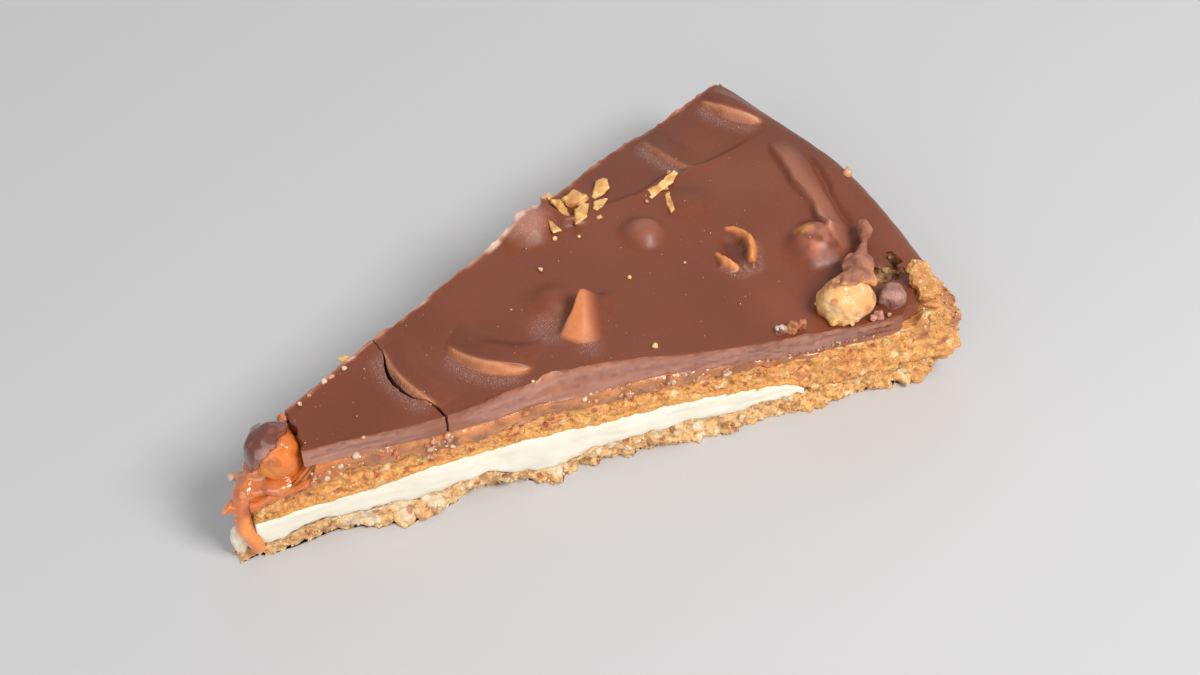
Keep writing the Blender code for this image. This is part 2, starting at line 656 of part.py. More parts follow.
def nuts():
    golden = material("peanut", (0.72, 0.42, 0.14), 0.4)
    orange = material("peanut_in_caramel", (0.72, 0.27, 0.04), 0.25)
    matte = material("matte_chocolate", (0.27, 0.12, 0.08), 0.6)
    caramelised = material("brittle", (0.62, 0.33, 0.08), 0.45)
    tip = blob("peanut_tip", PEANUT_TIP, 3, 0.05, 51, orange)
    side = blob("peanut_side", PEANUT_SIDE, 3, 0.06, 52, golden)
    lump = shard("chocolate_lump", ragged((2.8, 2.4), 53), 2.3, (114.8, -27.2, 18.9), -20, 12, matte)
    chunk = shard("brittle_chunk", BRITTLE, 0.9, (121.9, -27.4, 19.6), -34, 56, caramelised)
    broken = [shard("broken_0", ragged((2.4, 1.7), 72), 1.0, (79.3, 18.4, 23.1), 30, 10, golden),
              shard("broken_1", ragged((1.4, 1.1), 73), 0.9, (81.1, 15.9, 22.8), 60, -15)]
    crushed = shard("peanut_crushed", ragged((2.8, 1.9), 71, 8), 1.3, (82.0, 18.7, 23.1), 25, -12, golden)
    fuse(crushed, broken)
    return tip, side, lump, chunk, crushed


def tip_shell(nut):
    """The chocolate left over the far side of the peanut at the tip."""
    away = Vector(SHELL_SIDE)
    middle = Vector(PEANUT_TIP[0])
    half = tuple(h + SHELL_GROWTH for h in PEANUT_TIP[1])
    place = tuple(middle + away * SHELL_SHIFT)
    shell = blob("tip_shell", (place, half, PEANUT_TIP[2]), 3, 0.03, 56,
                 material("dark_shell", (0.13, 0.045, 0.025), 0.25))
    across = Matrix.Rotation(math.radians(PEANUT_TIP[2]), 3, "Z") @ Vector((1, 0, 0))
    cut(shell, swollen(nut), half_space("shell_front", middle + away * SHELL_EDGE, -away),
        half_space("shell_end", middle + across * 1.4, across))
    thin_out(shell, 260)
    return shell


def half_space(name, place, way):
    """A block with one face through the place, which fills the side that way points to."""
    turn = way.to_track_quat("Z", "Y").to_matrix()
    size = 20.0
    points = [place + turn @ Vector((x, y, z)) for z in (0.0, size) for x, y in
              ((-size, -size), (size, -size), (size, size), (-size, size))]
    faces = [(3, 2, 1, 0), (4, 5, 6, 7), (0, 1, 5, 4), (1, 2, 6, 5), (2, 3, 7, 6), (3, 0, 4, 7)]
    return add_object(name, [tuple(p) for p in points], faces)


def main():
    for old in list(bpy.data.objects):
        bpy.data.objects.remove(old)
    base = almond_base()
    thin_out(base, 1850)
    cream = cream_filling()
    crumb = upper_crumb()
    thin_out(crumb, 1850)
    sauce = caramel()
    tip, side, lump, chunk, crushed = nuts()
    chocolate([tip, side, lump, chunk, crushed])
    shell = tip_shell(tip)
    room = drip(GAP)
    cut(base, *room)
    cut(cream, *room)
    cut(crumb, swollen(tip), swollen(chunk), *room)
    cut(sauce, swollen(tip), swollen(shell))
    for obj in bpy.data.objects:
        obj.data.set_sharp_from_angle(angle=SHARP)


main()
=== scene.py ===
"""Looks for the slice of caramel peanut cake: finer layers, crumb, caramel, nuts and light."""
import math

import bmesh
import bpy
import numpy as np
from mathutils import Matrix, Quaternion, Vector, noise


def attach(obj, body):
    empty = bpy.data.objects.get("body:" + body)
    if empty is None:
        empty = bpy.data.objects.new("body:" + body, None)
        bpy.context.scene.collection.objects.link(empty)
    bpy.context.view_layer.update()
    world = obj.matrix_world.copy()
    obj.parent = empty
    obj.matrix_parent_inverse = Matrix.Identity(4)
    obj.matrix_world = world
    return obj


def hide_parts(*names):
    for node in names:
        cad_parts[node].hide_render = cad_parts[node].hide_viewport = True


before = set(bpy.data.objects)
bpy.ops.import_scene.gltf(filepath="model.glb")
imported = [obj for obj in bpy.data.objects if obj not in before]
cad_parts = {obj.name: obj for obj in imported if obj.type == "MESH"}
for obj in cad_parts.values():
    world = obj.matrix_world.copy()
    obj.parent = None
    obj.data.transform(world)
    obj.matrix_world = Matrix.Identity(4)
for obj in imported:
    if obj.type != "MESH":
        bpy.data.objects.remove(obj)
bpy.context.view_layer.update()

MM = 0.001

# The wedge, as in the part's source: the middle of the round cake is at (0, 0), in millimetres
HALF_ANGLE = math.radians(15)
CAKE_RADIUS = 129.4
MIDDLE_X = 66.9
RIM_WALL = 2.0
SHOULDER_START = 123.0
SHOULDER_DROP = 3.6
SKIRT_FOOT = 7.7
BARE_CORNER = -0.80
BREAK_FROM = (114.4, -30.9)
BREAK_TO = (127.4, -21.4)
# Heights of the layers: (distance from the cake's middle, height)
PLATE_TOP_FRONT = ((15, 22.0), (78, 22.0), (92, 20.0), (104, 18.6), (130, 18.2))
PLATE_TOP_BACK = ((15, 22.0), (100, 22.0), (130, 21.0))
PLATE_BOTTOM = ((15, 19.6), (30, 19.1), (46, 18.7), (54, 19.5), (66, 18.9), (74, 19.0),
                (86, 17.4), (100, 14.9), (115, 14.2), (123, 14.8), (130, 14.8))
CARAMEL_BOTTOM = ((5, 11.6), (12, 13.2), (21, 15.6), (39, 15.0), (46, 15.3), (53, 16.6),
                  (66, 16.1), (86, 15.2), (100, 13.1), (130, 13.1))
CREAM_TOP = ((5, 8.3), (20, 9.5), (30, 10.1), (37, 11.2), (53, 11.7), (66, 10.9), (80, 10.6),
             (93, 8.9), (100, 7.4), (102.4, 5.9), (130, 5.9))
CREAM_BOTTOM = ((5, 3.0), (14, 4.0), (20, 5.1), (30, 4.9), (36, 4.4), (41, 5.6), (46, 5.0),
                (54, 3.3), (58, 3.5), (64, 4.8), (80, 5.3), (89, 4.6), (102, 4.8), (130, 4.8))
CARAMEL_REACH = 104.0
CREAM_REACH = 102.4
GLAZE = 1.3
GLAZE_ENDS = 18.0
# How far the crumb's foot stands out and the plate's cut stands back, along the front
BASE_FOOT_OUT = ((5, 0.0), (14, -0.3), (18, -1.2), (23, -0.5), (28, 0.5), (33, 2.0), (38, 0.9),
                 (41, -0.5), (54, -0.3), (58, 1.6), (62, 0.0), (82, 0.6), (105, 0.4), (123, 0.0),
                 (130, -1.0))
PLATE_SETBACK = ((15, 1.0), (22, 0.8), (27, 0.4), (33, 0.0), (40, -0.2), (45, 0.0), (48, 0.5), (52, 1.4),
                 (55, 1.6), (58, 2.8), (61, 2.6), (67, 2.2), (73, 1.5), (78, 0.75), (83, 0.4), (97, 0.3),
                 (104, 0.25), (111, -0.1), (130, -0.3))
# Nuts: middle, half sizes and turn; most things are turned as the camera sees them
CAMERA_TURN = -34
PEANUT_TIP = ((14.9, 0.6, 18.3), (3.9, 3.6, 4.7), CAMERA_TURN)
PEANUT_SIDE = ((107.4, -24.4, 20.5), (5.0, 3.9, 4.0), CAMERA_TURN)
# Lines on the plate, seen from above
RIDGE = ((121.6, 15.5), (120.0, 11.0), (118.0, 3.5), (117.2, -3.6), (115.6, -8.6), (115.2, -10.8))
GROOVE = ((125.0, 12.0), (123.8, 4.0), (121.6, -2.0), (120.4, -6.6), (120.0, -11.0))
LIPS = (((100.6, 0.4), (101.6, -0.6), (102.4, -2.2), (102.6, -4.0), (101.9, -6.0), (100.7, -7.6),
         (99.9, -9.0)),
        ((96.3, -3.4), (96.1, -4.8), (96.2, -6.2), (96.6, -7.6), (97.4, -8.8)))
FOLD = ((84.0, 14.5), (92.5, 13.9), (98.0, 15.0), (104.2, 15.2), (112.0, 15.7), (119.2, 16.4))
NUT_LIP = ((77.6, 22.0), (76.6, 18.9), (78.2, 15.2), (82.8, 13.6))
# Nuts that end in a steep face: place, way it faces, half length, width of the face, length of the
# slope behind it, height, bow, lean, and how far the face takes the nut's colour
LEDGES = (((37.1, -0.3), 184, 8.4, 0.5, 6.4, 1.0, 1.7, 0.35, 0.8),
          ((49.2, -5.3), 215, 7.8, 1.1, 7.0, 1.75, 2.8, 0.5, 1.0),
          ((119.3, 24.1), 212, 6.6, 0.8, 7.5, 2.0, 1.6, 0.2, 0.9),
          ((102.3, 20.3), 202, 5.8, 0.6, 6.0, 0.9, 1.0, 0.0, 0.6))
# Round bumps and dips: place, half sizes, turn, height, and how square the shoulder is
BUMPS = (((66.2, 1.4), (3.5, 2.9), 0, 1.3, 2.4), ((62.6, -3.6), (2.8, 2.4), 0, -0.6, 2.4),
         ((88.0, 6.0), (3.3, 3.1), 0, 1.9, 3.2), ((98.8, 8.4), (3.7, 3.2), 0, 1.0, 2.6),
         ((112.1, -10.5), (4.5, 4.1), 0, 3.2, 3.4), ((72.2, 17.6), (4.6, 3.8), 15, 2.4, 2.8),
         ((99.4, -4.6), (2.4, 3.0), 0, -0.9, 3.0), ((118.2, -19.6), (3.0, 3.4), 30, -0.4, 3.0))
# Strands of caramel: (place, half width)
DRIP = (((11.2, 0.9, 13.6), 1.5), ((9.3, 1.2, 13.2), 2.3), ((8.1, 1.0, 11.4), 2.0), ((7.3, 0.4, 9.2), 1.5),
        ((7.1, -0.1, 7.2), 1.5), ((7.6, -0.8, 5.2), 1.6), ((8.1, -1.7, 3.2), 1.2), ((7.9, -2.2, 1.5), 0.6))
SPIKE = (((7.9, 1.1, 11.9), 1.5), ((6.3, 1.3, 11.2), 1.1), ((5.2, 1.3, 10.8), 0.6), ((4.3, 1.3, 10.5), 0.2))
# Outlines of the brittle and of the torn chocolate, and the torn piece's top
BRITTLE = ((-2.2, 3.6), (0.1, 3.1), (1.2, 2.2), (1.5, 0.7), (3.2, -0.5), (3.0, -2.7), (1.5, -3.7),
           (-1.0, -3.4), (-1.1, -1.7), (-2.5, -0.7), (-2.6, 1.0), (-3.3, 1.6))
FLAP = ((116.6, -17.2, 21.0), (115.2, -17.4, 21.6), (112.8, -18.4, 21.8), (110.6, -19.4, 22.2),
        (109.4, -21.0, 23.2), (106.2, -21.8, 23.6), (104.5, -23.0, 23.2), (106.4, -24.2, 24.4),
        (108.4, -25.4, 24.5), (110.3, -25.9, 24.0), (112.1, -26.1, 22.9), (113.6, -24.4, 22.4),
        (115.0, -22.2, 21.6), (116.7, -19.9, 21.0))
FLAP_TOP = (110.8, -22.2, 24.3)
FRONT_OUT = np.array([-math.sin(HALF_ANGLE), -math.cos(HALF_ANGLE), 0.0])
BACK_OUT = np.array([-math.sin(HALF_ANGLE), math.cos(HALF_ANGLE), 0.0])
FADE = 3.5  # how deep inside the slice the rough sides die away

# The photograph's view: camera and aim, in the same millimetres
CAMERA = (-51.126, -187.297, 263.642)
AIM = (79.335, 6.537, 0.0)
LENS = 60.0
SENSOR = 36.0
FORESHORTEN = 0.748  # what lies flat looks this much shorter from the camera

# Size of the facets on the crumb
FINE = 0.2


# Numbers and curves


def smooth(x):
    """Rises smoothly from 0 to 1 as x does."""
    x = np.clip(x, 0.0, 1.0)
    return x * x * (3.0 - 2.0 * x)


def curve(points, x):
    """A smooth line through a few (x, height) points."""
    xs = np.array([p[0] for p in points], float)
    ys = np.array([p[1] for p in points], float)
    slopes = np.gradient(ys, xs)
    x = np.clip(x, xs[0], xs[-1])
    i = np.clip(np.searchsorted(xs, x) - 1, 0, len(xs) - 2)
    width = xs[i + 1] - xs[i]
    s = (x - xs[i]) / width
    rise = ys[i + 1] - ys[i]
    bend = s * (1 - s) * ((1 - s) * (slopes[i] * width - rise) - s * (slopes[i + 1] * width - rise))
    return ys[i] + s * rise + bend


def through(values, fine):
    """A smooth run through a list of values, read at the given places between them."""
    return curve(list(enumerate(values)), fine)


def wander(points, size, seed):
    """Soft random waves of the given size, from about -1 to 1, at each point."""
    shift = Vector((seed * 7.3, seed * 3.1, seed * 5.7))
    return np.array([noise.noise(Vector(p) / size + shift) for p in points]) * 1.6


def grains(points, size, seed):
    """The source's packed grains: 1 in the middle of a grain, 0 between them."""
    shift = Vector((seed * 5.1, seed * 8.7, seed * 2.3))
    near = [noise.voronoi(Vector(p) / size + shift)[0] for p in points]
    first = np.array([d[0] for d in near])
    second = np.array([d[1] for d in near])
    return np.clip((second - first) * 1.8, 0.0, 1.0) ** 0.6


def hashed(place, salt):
    """A repeatable random number from 0 to 1 for each whole-number place."""
    h = place[..., 0] * 73856093 ^ place[..., 1] * 19349663 ^ place[..., 2] * 83492791 ^ salt * 40503
    h = ((h ^ (h >> 13)) * 1274126177) & 0xFFFFFFFF
    h = ((h ^ (h >> 15)) * 2246822519) & 0xFFFFFFFF
    return ((h ^ (h >> 16)) & 0xFFFFFF) / 0xFFFFFF


def clouds(points, size, salt):
    """Soft random waves from -1 to 1, quick enough for fine meshes."""
    q = np.asarray(points) / size
    base = np.floor(q).astype(np.int64)
    s = smooth(q - base)
    total = 0.0
    for corner in np.ndindex(2, 2, 2):
        weight = np.prod(np.where(corner, s, 1 - s), axis=-1)
        total = total + weight * hashed(base + np.array(corner), salt)
    return 2 * total - 1


def cells(points, size, salt):
    """Scattered grains: distance to the nearest one in grain sizes, and that grain's random number."""
    q = np.asarray(points) / size
    base = np.floor(q).astype(np.int64)
    best = np.full(len(q), 9.0)
    pick = np.zeros(len(q))
    for step in np.ndindex(3, 3, 3):
        cell = base + np.array(step) - 1
        seed = np.stack([hashed(cell, salt + k) for k in (1, 2, 3)], -1)
        far = np.linalg.norm(cell + seed - q, axis=-1)
        nearer = far < best
        best = np.where(nearer, far, best)
        pick = np.where(nearer, hashed(cell, salt + 4), pick)
    return best, pick


def srgb(red, green, blue):
    """A colour as seen on a screen, 0 to 255, in the linear numbers that shaders use."""
    c = np.array([red, green, blue], float) / 255
    return np.where(c <= 0.04045, c / 12.92, ((c + 0.055) / 1.055) ** 2.4)


def blend(first, second, share):
    """Mixes two colours, or two lists of colours, point by point."""
    share = np.clip(share, 0, 1)[:, None]
    return first * (1 - share) + second * share


def drawn_out(points, share, size, salt):
    """Waves drawn out along the cut as a knife leaves them, longer for a smaller share."""
    return clouds(points * (share, share, 1.0), size, salt)


def coats(tints, *rows):
    """Lays screen colours over the tints, one after another, each by its own share."""
    for tone, share in rows:
        tints = blend(tints, srgb(*tone), share)
    return tints


def mottle(points, low, high, swing, size, salt):
    """Soft patches of two screen colours."""
    return blend(srgb(*low), srgb(*high), 0.5 + swing * clouds(points, size, salt))


def across_slice(points):
    """Each point's distance from the cake's middle, and its place across the slice from -1 to 1."""
    return np.hypot(points[:, 0], points[:, 1]), np.arctan2(points[:, 1], points[:, 0]) / HALF_ANGLE


def spot(x, y, place, size, power=4):
    """1 in the middle of a round spot seen from above, and 0 outside it."""
    return np.exp(-(np.hypot(x - place[0], y - place[1]) / size) ** power)


# The layers' heights and the plate's relief


def plate_top(r, t):
    """Height of the plate's top, lower toward the rim's corners."""
    back = smooth((t + 1) / 2)
    sink = 2.3 * smooth((r - 92) / 26) * smooth((t + 0.05) / 0.8)
    return curve(PLATE_TOP_FRONT, r) * (1 - back) + curve(PLATE_TOP_BACK, r) * back - sink


def seam(points, r, t, phase):
    """A seam's height: as on the front cut, with slow waves toward the back."""
    return curve(points, r) + (t + 1) * 0.3 * np.sin(r / 9.0 + phase)


def plate_seam(r, t):
    """Height of the plate's underside."""
    back = smooth((t + 1) / 2) * smooth((r - 84) / 30) * 2.2
    return seam(PLATE_BOTTOM, r, t, 0.0) + back


def caramel_seam(r, t):
    """Height of the caramel's underside, which meets the plate beyond its reach."""
    under = seam(CARAMEL_BOTTOM, r, t, 1.5)
    thinning = smooth((r - CARAMEL_REACH + 9.0) / 9.0)
    beyond = smooth((r - CARAMEL_REACH - 0.3) / 1.4)
    return under * (1 - thinning) + (plate_seam(r, t) - 0.9 + 0.75 * beyond) * thinning


def cream_seam(r, t):
    """Height of the cream's top, which drops to the base beyond its reach."""
    drop = smooth((r - CREAM_REACH - 0.3) / 1.6)
    return seam(CREAM_TOP, r, t, 3.0) * (1 - drop) + base_seam(r, t) * drop


def base_seam(r, t):
    """Height of the base's top."""
    return seam(CREAM_BOTTOM, r, t, 4.0)


def dome(x, y, place, size, turn, height, power):
    """A round bump, or a dip where height is negative."""
    c = math.cos(math.radians(turn))
    s = math.sin(math.radians(turn))
    a = ((x - place[0]) * c + (y - place[1]) * s) / size[0]
    b = ((y - place[1]) * c - (x - place[0]) * s) / size[1]
    return height * np.exp(-np.hypot(a, b) ** power)


def ledge_place(x, y, place, face, half, bow):
    """Distance out from a ledge's crest, and the place along it from -1 to 1."""
    c = math.cos(math.radians(face))
    s = math.sin(math.radians(face))
    out = (x - place[0]) * c + (y - place[1]) * s
    along = ((y - place[1]) * c - (x - place[0]) * s) / half
    return out + bow * along ** 2, along


def ledge(x, y, place, face, half, width, tail, height, bow, lean):
    """A nut's slope under the chocolate, which ends in a steep face."""
    out, along = ledge_place(x, y, place, face, half, bow)
    drop = np.clip(1 - out / width, 0, 1)
    across = np.where(out > 0, 0.5 * drop + 0.5 * smooth(drop), smooth((1 + out / tail) / 0.6))
    ends = np.clip(1 - along ** 2, 0, 1)
    return height * across * ends * (1 + lean * along)


def fin_place(x, y):
    """Distance behind the fin's foot, distance to its right, and its half width there."""
    across = (x - 64.9) * 0.783 - (y + 9.4) * 0.622
    ahead = (x - 64.9) * 0.622 + (y + 9.4) * 0.783 - 0.1 * across ** 2
    return ahead, across, 3.0 * np.clip(1 - ahead / 9.0, 0, 1) ** 0.85


def fin(x, y):
    """A nut's edge that stands up under the chocolate like a fin."""
    ahead, across, half = fin_place(x, y)
    face = np.clip(0.08 + 0.92 * ahead / 8.1, 0, 1) ** 0.85 * smooth(1 + ahead / 1.1)
    behind = smooth((11.6 - ahead) / 3.6)
    left = smooth(1 - (-half - across) / 1.5)
    right = np.exp(-(np.clip(across + 0.15 * half, 0, None) / 3.0) ** 2)
    return 4.0 * face * behind * left * right


def distance_to_line(x, y, points):
    """Distance to a line through a few points, how far along it, and the side."""
    best = np.full(np.shape(x), 1e9)
    along = np.zeros(np.shape(x))
    side = np.zeros(np.shape(x))
    count = len(points) - 1
    for i in range(count):
        ax, ay = points[i]
        bx, by = points[i + 1]
        length = math.hypot(bx - ax, by - ay)
        k = np.clip(((x - ax) * (bx - ax) + (y - ay) * (by - ay)) / length ** 2, 0, 1)
        d = np.hypot(x - ax - k * (bx - ax), y - ay - k * (by - ay))
        cross = ((bx - ax) * (y - ay) - (by - ay) * (x - ax)) / length
        along = np.where(d < best, (i + k) / count, along)
        side = np.where(d < best, cross, side)
        best = np.minimum(best, d)
    return best, along, side


def relief(x, y):
    """Height that the nuts, folds and breaks add to the chocolate."""
    flat = np.stack([x, y, 0 * x], -1)
    x = x + 0.3 * clouds(flat, 3.0, 160)
    y = y + 0.3 * clouds(flat, 3.0, 161)
    h = fin(x, y)
    for *shaped, _ in LEDGES:
        h += ledge(x, y, *shaped)
    for bump in BUMPS:
        h += dome(x, y, *bump)
    for line, high in zip(LIPS, (2.1, 1.5)):
        near, along, _ = distance_to_line(x, y, line)
        bulge = np.sin(np.pi * np.clip(along, 0.05, 0.95) ** 1.5)
        near = near + 0.45 * clouds(flat, 0.9, 162) * bulge
        h += high * np.exp(-(near / (0.45 + 0.6 * bulge)) ** 2) * bulge ** 0.7
    near, along, side = distance_to_line(x, y, FOLD)
    run = np.sin(np.pi * np.clip(along, 0.02, 0.98)) ** 0.5
    h += 0.45 * np.exp(-(near / 1.4) ** 2) * run
    h -= 0.6 * smooth(side / 1.2) * np.exp(-(near / 6.0) ** 2) * run
    near, along, _ = distance_to_line(x, y, NUT_LIP)
    h += 1.3 * np.exp(-(near / 1.0) ** 2) * smooth((1 - along) * 4)
    near, along, side = distance_to_line(x, y, RIDGE)
    band = np.where(side > 0, np.exp(-(near / 3.6) ** 3), smooth(1 - near / 1.0))
    h += 1.5 * band * smooth(along * 3.5) * smooth((1.0 - along) * 9 + 0.15)
    near, along, _ = distance_to_line(x, y, GROOVE)
    h -= 0.9 * np.exp(-(near / 0.8) ** 2) * smooth(along * 4) * smooth((1 - along) * 6)
    return h


def past_break(x, y):
    """How far a place lies beyond the line where the chocolate's corner broke away."""
    run = Vector(BREAK_TO) - Vector(BREAK_FROM)
    return ((x - BREAK_FROM[0]) * run.y - (y - BREAK_FROM[1]) * run.x) / run.length


def polar(r, t, z):
    """Points from the distance to the cake's middle, the place across the slice and the height."""
    angle = t * HALF_ANGLE
    return np.stack([r * np.cos(angle), r * np.sin(angle), z], -1)


def push_sides(points, r, t, front, back, rim, rim_radius):
    """Moves the cut sides and the rim outward by the given distances, fading to nothing inside."""
    from_front = r * np.sin(np.clip((1 + t) * HALF_ANGLE, 0, 1.5))
    from_back = r * np.sin(np.clip((1 - t) * HALF_ANGLE, 0, 1.5))
    radial = points * (1, 1, 0)
    radial = radial / np.linalg.norm(radial, axis=1, keepdims=True)
    moved = points + (front * np.exp(-from_front / FADE))[:, None] * FRONT_OUT
    moved = moved + (back * np.exp(-from_back / FADE))[:, None] * BACK_OUT
    return moved + (rim * np.exp(-(rim_radius - r) / FADE))[:, None] * radial


def crumb_sides(points, depth, seed):
    """How far the crumb's side stands out: coarse and fine grains on slow waves."""
    coarse = grains(points, 3.4, seed) - 0.5
    fine = grains(points, 1.7, seed + 1) - 0.5
    return depth * (0.9 * coarse + 0.5 * fine + 0.5 * wander(points, 6.0, seed + 2))


# Meshes


def in_scene(name, data):
    """A new object in the scene."""
    obj = bpy.data.objects.new(name, data)
    bpy.context.scene.collection.objects.link(obj)
    return obj


def add_mesh(name, points, faces):
    """A mesh object from points in millimetres."""
    mesh = bpy.data.meshes.new(name)
    placed = (np.asarray(points, float) - (MIDDLE_X, 0, 0)) * MM
    mesh.from_pydata(placed.tolist(), [], [list(map(int, f)) for f in faces])
    mesh.validate()
    mesh.shade_smooth()
    return in_scene(name, mesh)


def points_of(obj):
    """An object's points in millimetres."""
    flat = np.empty(len(obj.data.vertices) * 3, np.float32)
    obj.data.vertices.foreach_get("co", flat)
    return flat.reshape(-1, 3).astype(float) / MM + (MIDDLE_X, 0, 0)


def normals_of(obj):
    """The way an object's surface faces at each point."""
    flat = np.empty(len(obj.data.vertices) * 3, np.float32)
    obj.data.vertex_normals.foreach_get("vector", flat)
    return flat.reshape(-1, 3).astype(float)


def move_points(obj, points):
    """Puts an object's points where the list says, in millimetres."""
    flat = ((points - (MIDDLE_X, 0, 0)) * MM).astype(np.float32).ravel()
    obj.data.vertices.foreach_set("co", flat)
    obj.data.update()


def apply_modifiers(obj):
    """Makes what the modifiers show the object's own mesh."""
    graph = bpy.context.evaluated_depsgraph_get()
    made = bpy.data.meshes.new_from_object(obj.evaluated_get(graph))
    obj.modifiers.clear()
    obj.data = made


def cut(obj, *cutters):
    """Takes the cutters out of the object, then removes them."""
    for cutter in cutters:
        step = obj.modifiers.new("cut", "BOOLEAN")
        step.operation = "DIFFERENCE"
        step.solver = "MANIFOLD"
        step.object = cutter
    apply_modifiers(obj)
    for cutter in cutters:
        bpy.data.objects.remove(cutter)


def remesh(obj, voxel, rounds):
    """Melts overlapping bodies into one even surface."""
    step = obj.modifiers.new("even", "REMESH")
    step.mode = "VOXEL"
    step.voxel_size = voxel * MM
    soft = obj.modifiers.new("soft", "SMOOTH")
    soft.iterations = rounds
    soft.factor = 0.5
    apply_modifiers(obj)
    obj.data.shade_smooth()


def paint(obj, colours, specks_and_sheen=0.0):
    """Stores a colour for each point, which the material reads, with its share of pale specks."""
    tint = obj.data.color_attributes.new("tint", "FLOAT_COLOR", "POINT")
    full = np.ones((len(obj.data.vertices), 4), np.float32)
    full[:, :3] = np.clip(colours, 0, 1)
    full[:, 3] = specks_and_sheen
    tint.data.foreach_set("color", full.ravel())


def dress(obj, finish, slot, *nodes):
    """Gives a piece its material and its body, and hides the nodes that it stands for; slot is not used."""
    obj.data.materials.clear()
    obj.data.materials.append(finish)
    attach(obj, "root")
    if nodes:
        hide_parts(*nodes)


# How far in each ring of a layer's cover lies, and the middle that the rings close on
RINGS = (0.012, 0.03, 0.06, 0.11, 0.19, 0.32, 0.55)
CENTRE_U = 0.6


def around(count_u, count_t):
    """Places (u, t) round the outside of the wedge, counter-clockwise from the tip's front corner."""
    u_up = np.arange(count_u) / count_u
    t_up = 2 * np.arange(count_t) / count_t - 1
    u = np.concatenate([u_up, np.ones(count_t), 1 - u_up, np.zeros(count_t)])
    t = np.concatenate([-np.ones(count_u), t_up, np.ones(count_u), -t_up])
    return u, t


def ring_faces(first, second):
    """Quads between two rings of equal length."""
    return np.stack([first, np.roll(first, -1), np.roll(second, -1), second], -1)


def grid_quads(index):
    """Quads between the neighbours of a grid of point numbers."""
    return np.stack([index[:-1, :-1], index[1:, :-1], index[1:, 1:], index[:-1, 1:]], -1).reshape(-1, 4)


def layer(name, count_u, count_t, rows, place, sheet=False):
    """A closed layer: fine walls, and covers that grow coarser inward, or one fine top sheet.

    place(u, t, w) gives points: u from the tip to the rim, t across, w up from the bottom to the top.
    """
    u, t = around(count_u, count_t)
    n = len(u)
    parts = []
    faces = []
    for k in range(rows + 1):
        parts.append((u, t, np.full(n, k / rows)))
    for k in range(rows):
        faces.append(ring_faces(np.arange(n) + k * n, np.arange(n) + (k + 1) * n))
    total = (rows + 1) * n
    for w, edge in ((0.0, np.arange(n)), (1.0, np.arange(n) + rows * n)):
        if w and sheet:
            continue
        last = edge
        for q in RINGS:
            ring = np.arange(n) + total
            parts.append((CENTRE_U + (u - CENTRE_U) * (1 - q), t * (1 - q), np.full(n, w)))
            faces.append(ring_faces(last, ring) if w else ring_faces(ring, last))
            total += n
            last = ring
        parts.append((np.array([CENTRE_U]), np.zeros(1), np.array([w])))
        middle = np.full(n, total)
        fan = np.stack([last, np.roll(last, -1), middle, middle], -1)
        faces.append(fan if w else fan[:, [1, 0, 2, 3]])
        total += 1
    if sheet:
        i, j = np.meshgrid(np.arange(count_u + 1), np.arange(count_t + 1), indexing="ij")
        index = np.zeros(i.shape, int)
        top = np.arange(n) + rows * n
        index[:-1, 0] = top[:count_u]
        index[-1, :-1] = top[count_u:count_u + count_t]
        index[:0:-1, -1] = top[count_u + count_t:2 * count_u + count_t]
        index[0, :0:-1] = top[2 * count_u + count_t:]
        inner = (count_u - 1) * (count_t - 1)
        index[1:-1, 1:-1] = total + np.arange(inner).reshape(count_u - 1, count_t - 1)
        inner_u = i[1:-1, 1:-1].ravel() / count_u
        inner_t = 2 * j[1:-1, 1:-1].ravel() / count_t - 1
        parts.append((inner_u, inner_t, np.ones(inner)))
        faces.append(grid_quads(index))
    points = place(*(np.concatenate([p[k] for p in parts]) for k in range(3)))
    quads = np.concatenate(faces)
    made = []
    for a, b, c, d in quads.tolist():
        made.append((a, b, c) if c == d else (a, b, c, d))
    return add_mesh(name, points, made)


def ball(level):
    """Directions on a ball, and its triangles."""
    made = bmesh.new()
    bmesh.ops.create_icosphere(made, subdivisions=level, radius=1.0)
    points = np.array([v.co[:] for v in made.verts])
    faces = [[v.index for v in f.verts] for f in made.faces]
    made.free()
    return points, faces


def stretched(points, place, half, turn):
    """A ball's points stretched to half sizes, turned and put in their place."""
    spin = np.array(Matrix.Rotation(math.radians(turn), 3, "Z"))
    return (points * half) @ spin.T + place


def blob(name, shape, level, rough, seed):
    """A nut or lump: a ball stretched to its shape and made uneven."""
    points, faces = ball(level)
    points = points * (1 + rough * wander(points, 0.9, seed))[:, None]
    return add_mesh(name, stretched(points, *shape), faces)


def loft(points, count):
    """The faces of a body whose points are given as rings of the same count, end to end."""
    faces = [tuple(range(count))[::-1], tuple(range(len(points) - count, len(points)))]
    for k in range(0, len(points) - count, count):
        for a in range(count):
            b = (a + 1) % count
            faces.append((k + a, k + b, k + count + b, k + count + a))
    return points, faces


STRAND_SIDES = 12
STRAND_STEPS = 6


def strand(rows):
    """A round strand along a smooth route, from rows of (place, half width)."""
    fine = np.linspace(0, len(rows) - 1, (len(rows) - 1) * STRAND_STEPS + 1)
    path = np.stack([through([place[k] for place, _ in rows], fine) for k in range(3)], -1)
    wide = through([width for _, width in rows], fine)
    points = []
    for i, middle in enumerate(path):
        ahead = Vector(path[min(i + 1, len(path) - 1)] - path[max(i - 1, 0)]).normalized()
        across = ahead.cross(Vector((0.3, 1.0, 0.1))).normalized()
        other = ahead.cross(across)
        for a in range(STRAND_SIDES):
            angle = 2 * math.pi * a / STRAND_SIDES
            side = np.array(across * math.cos(angle) + other * math.sin(angle))
            points.append(middle + side * wide[i])
    return loft(points, STRAND_SIDES)


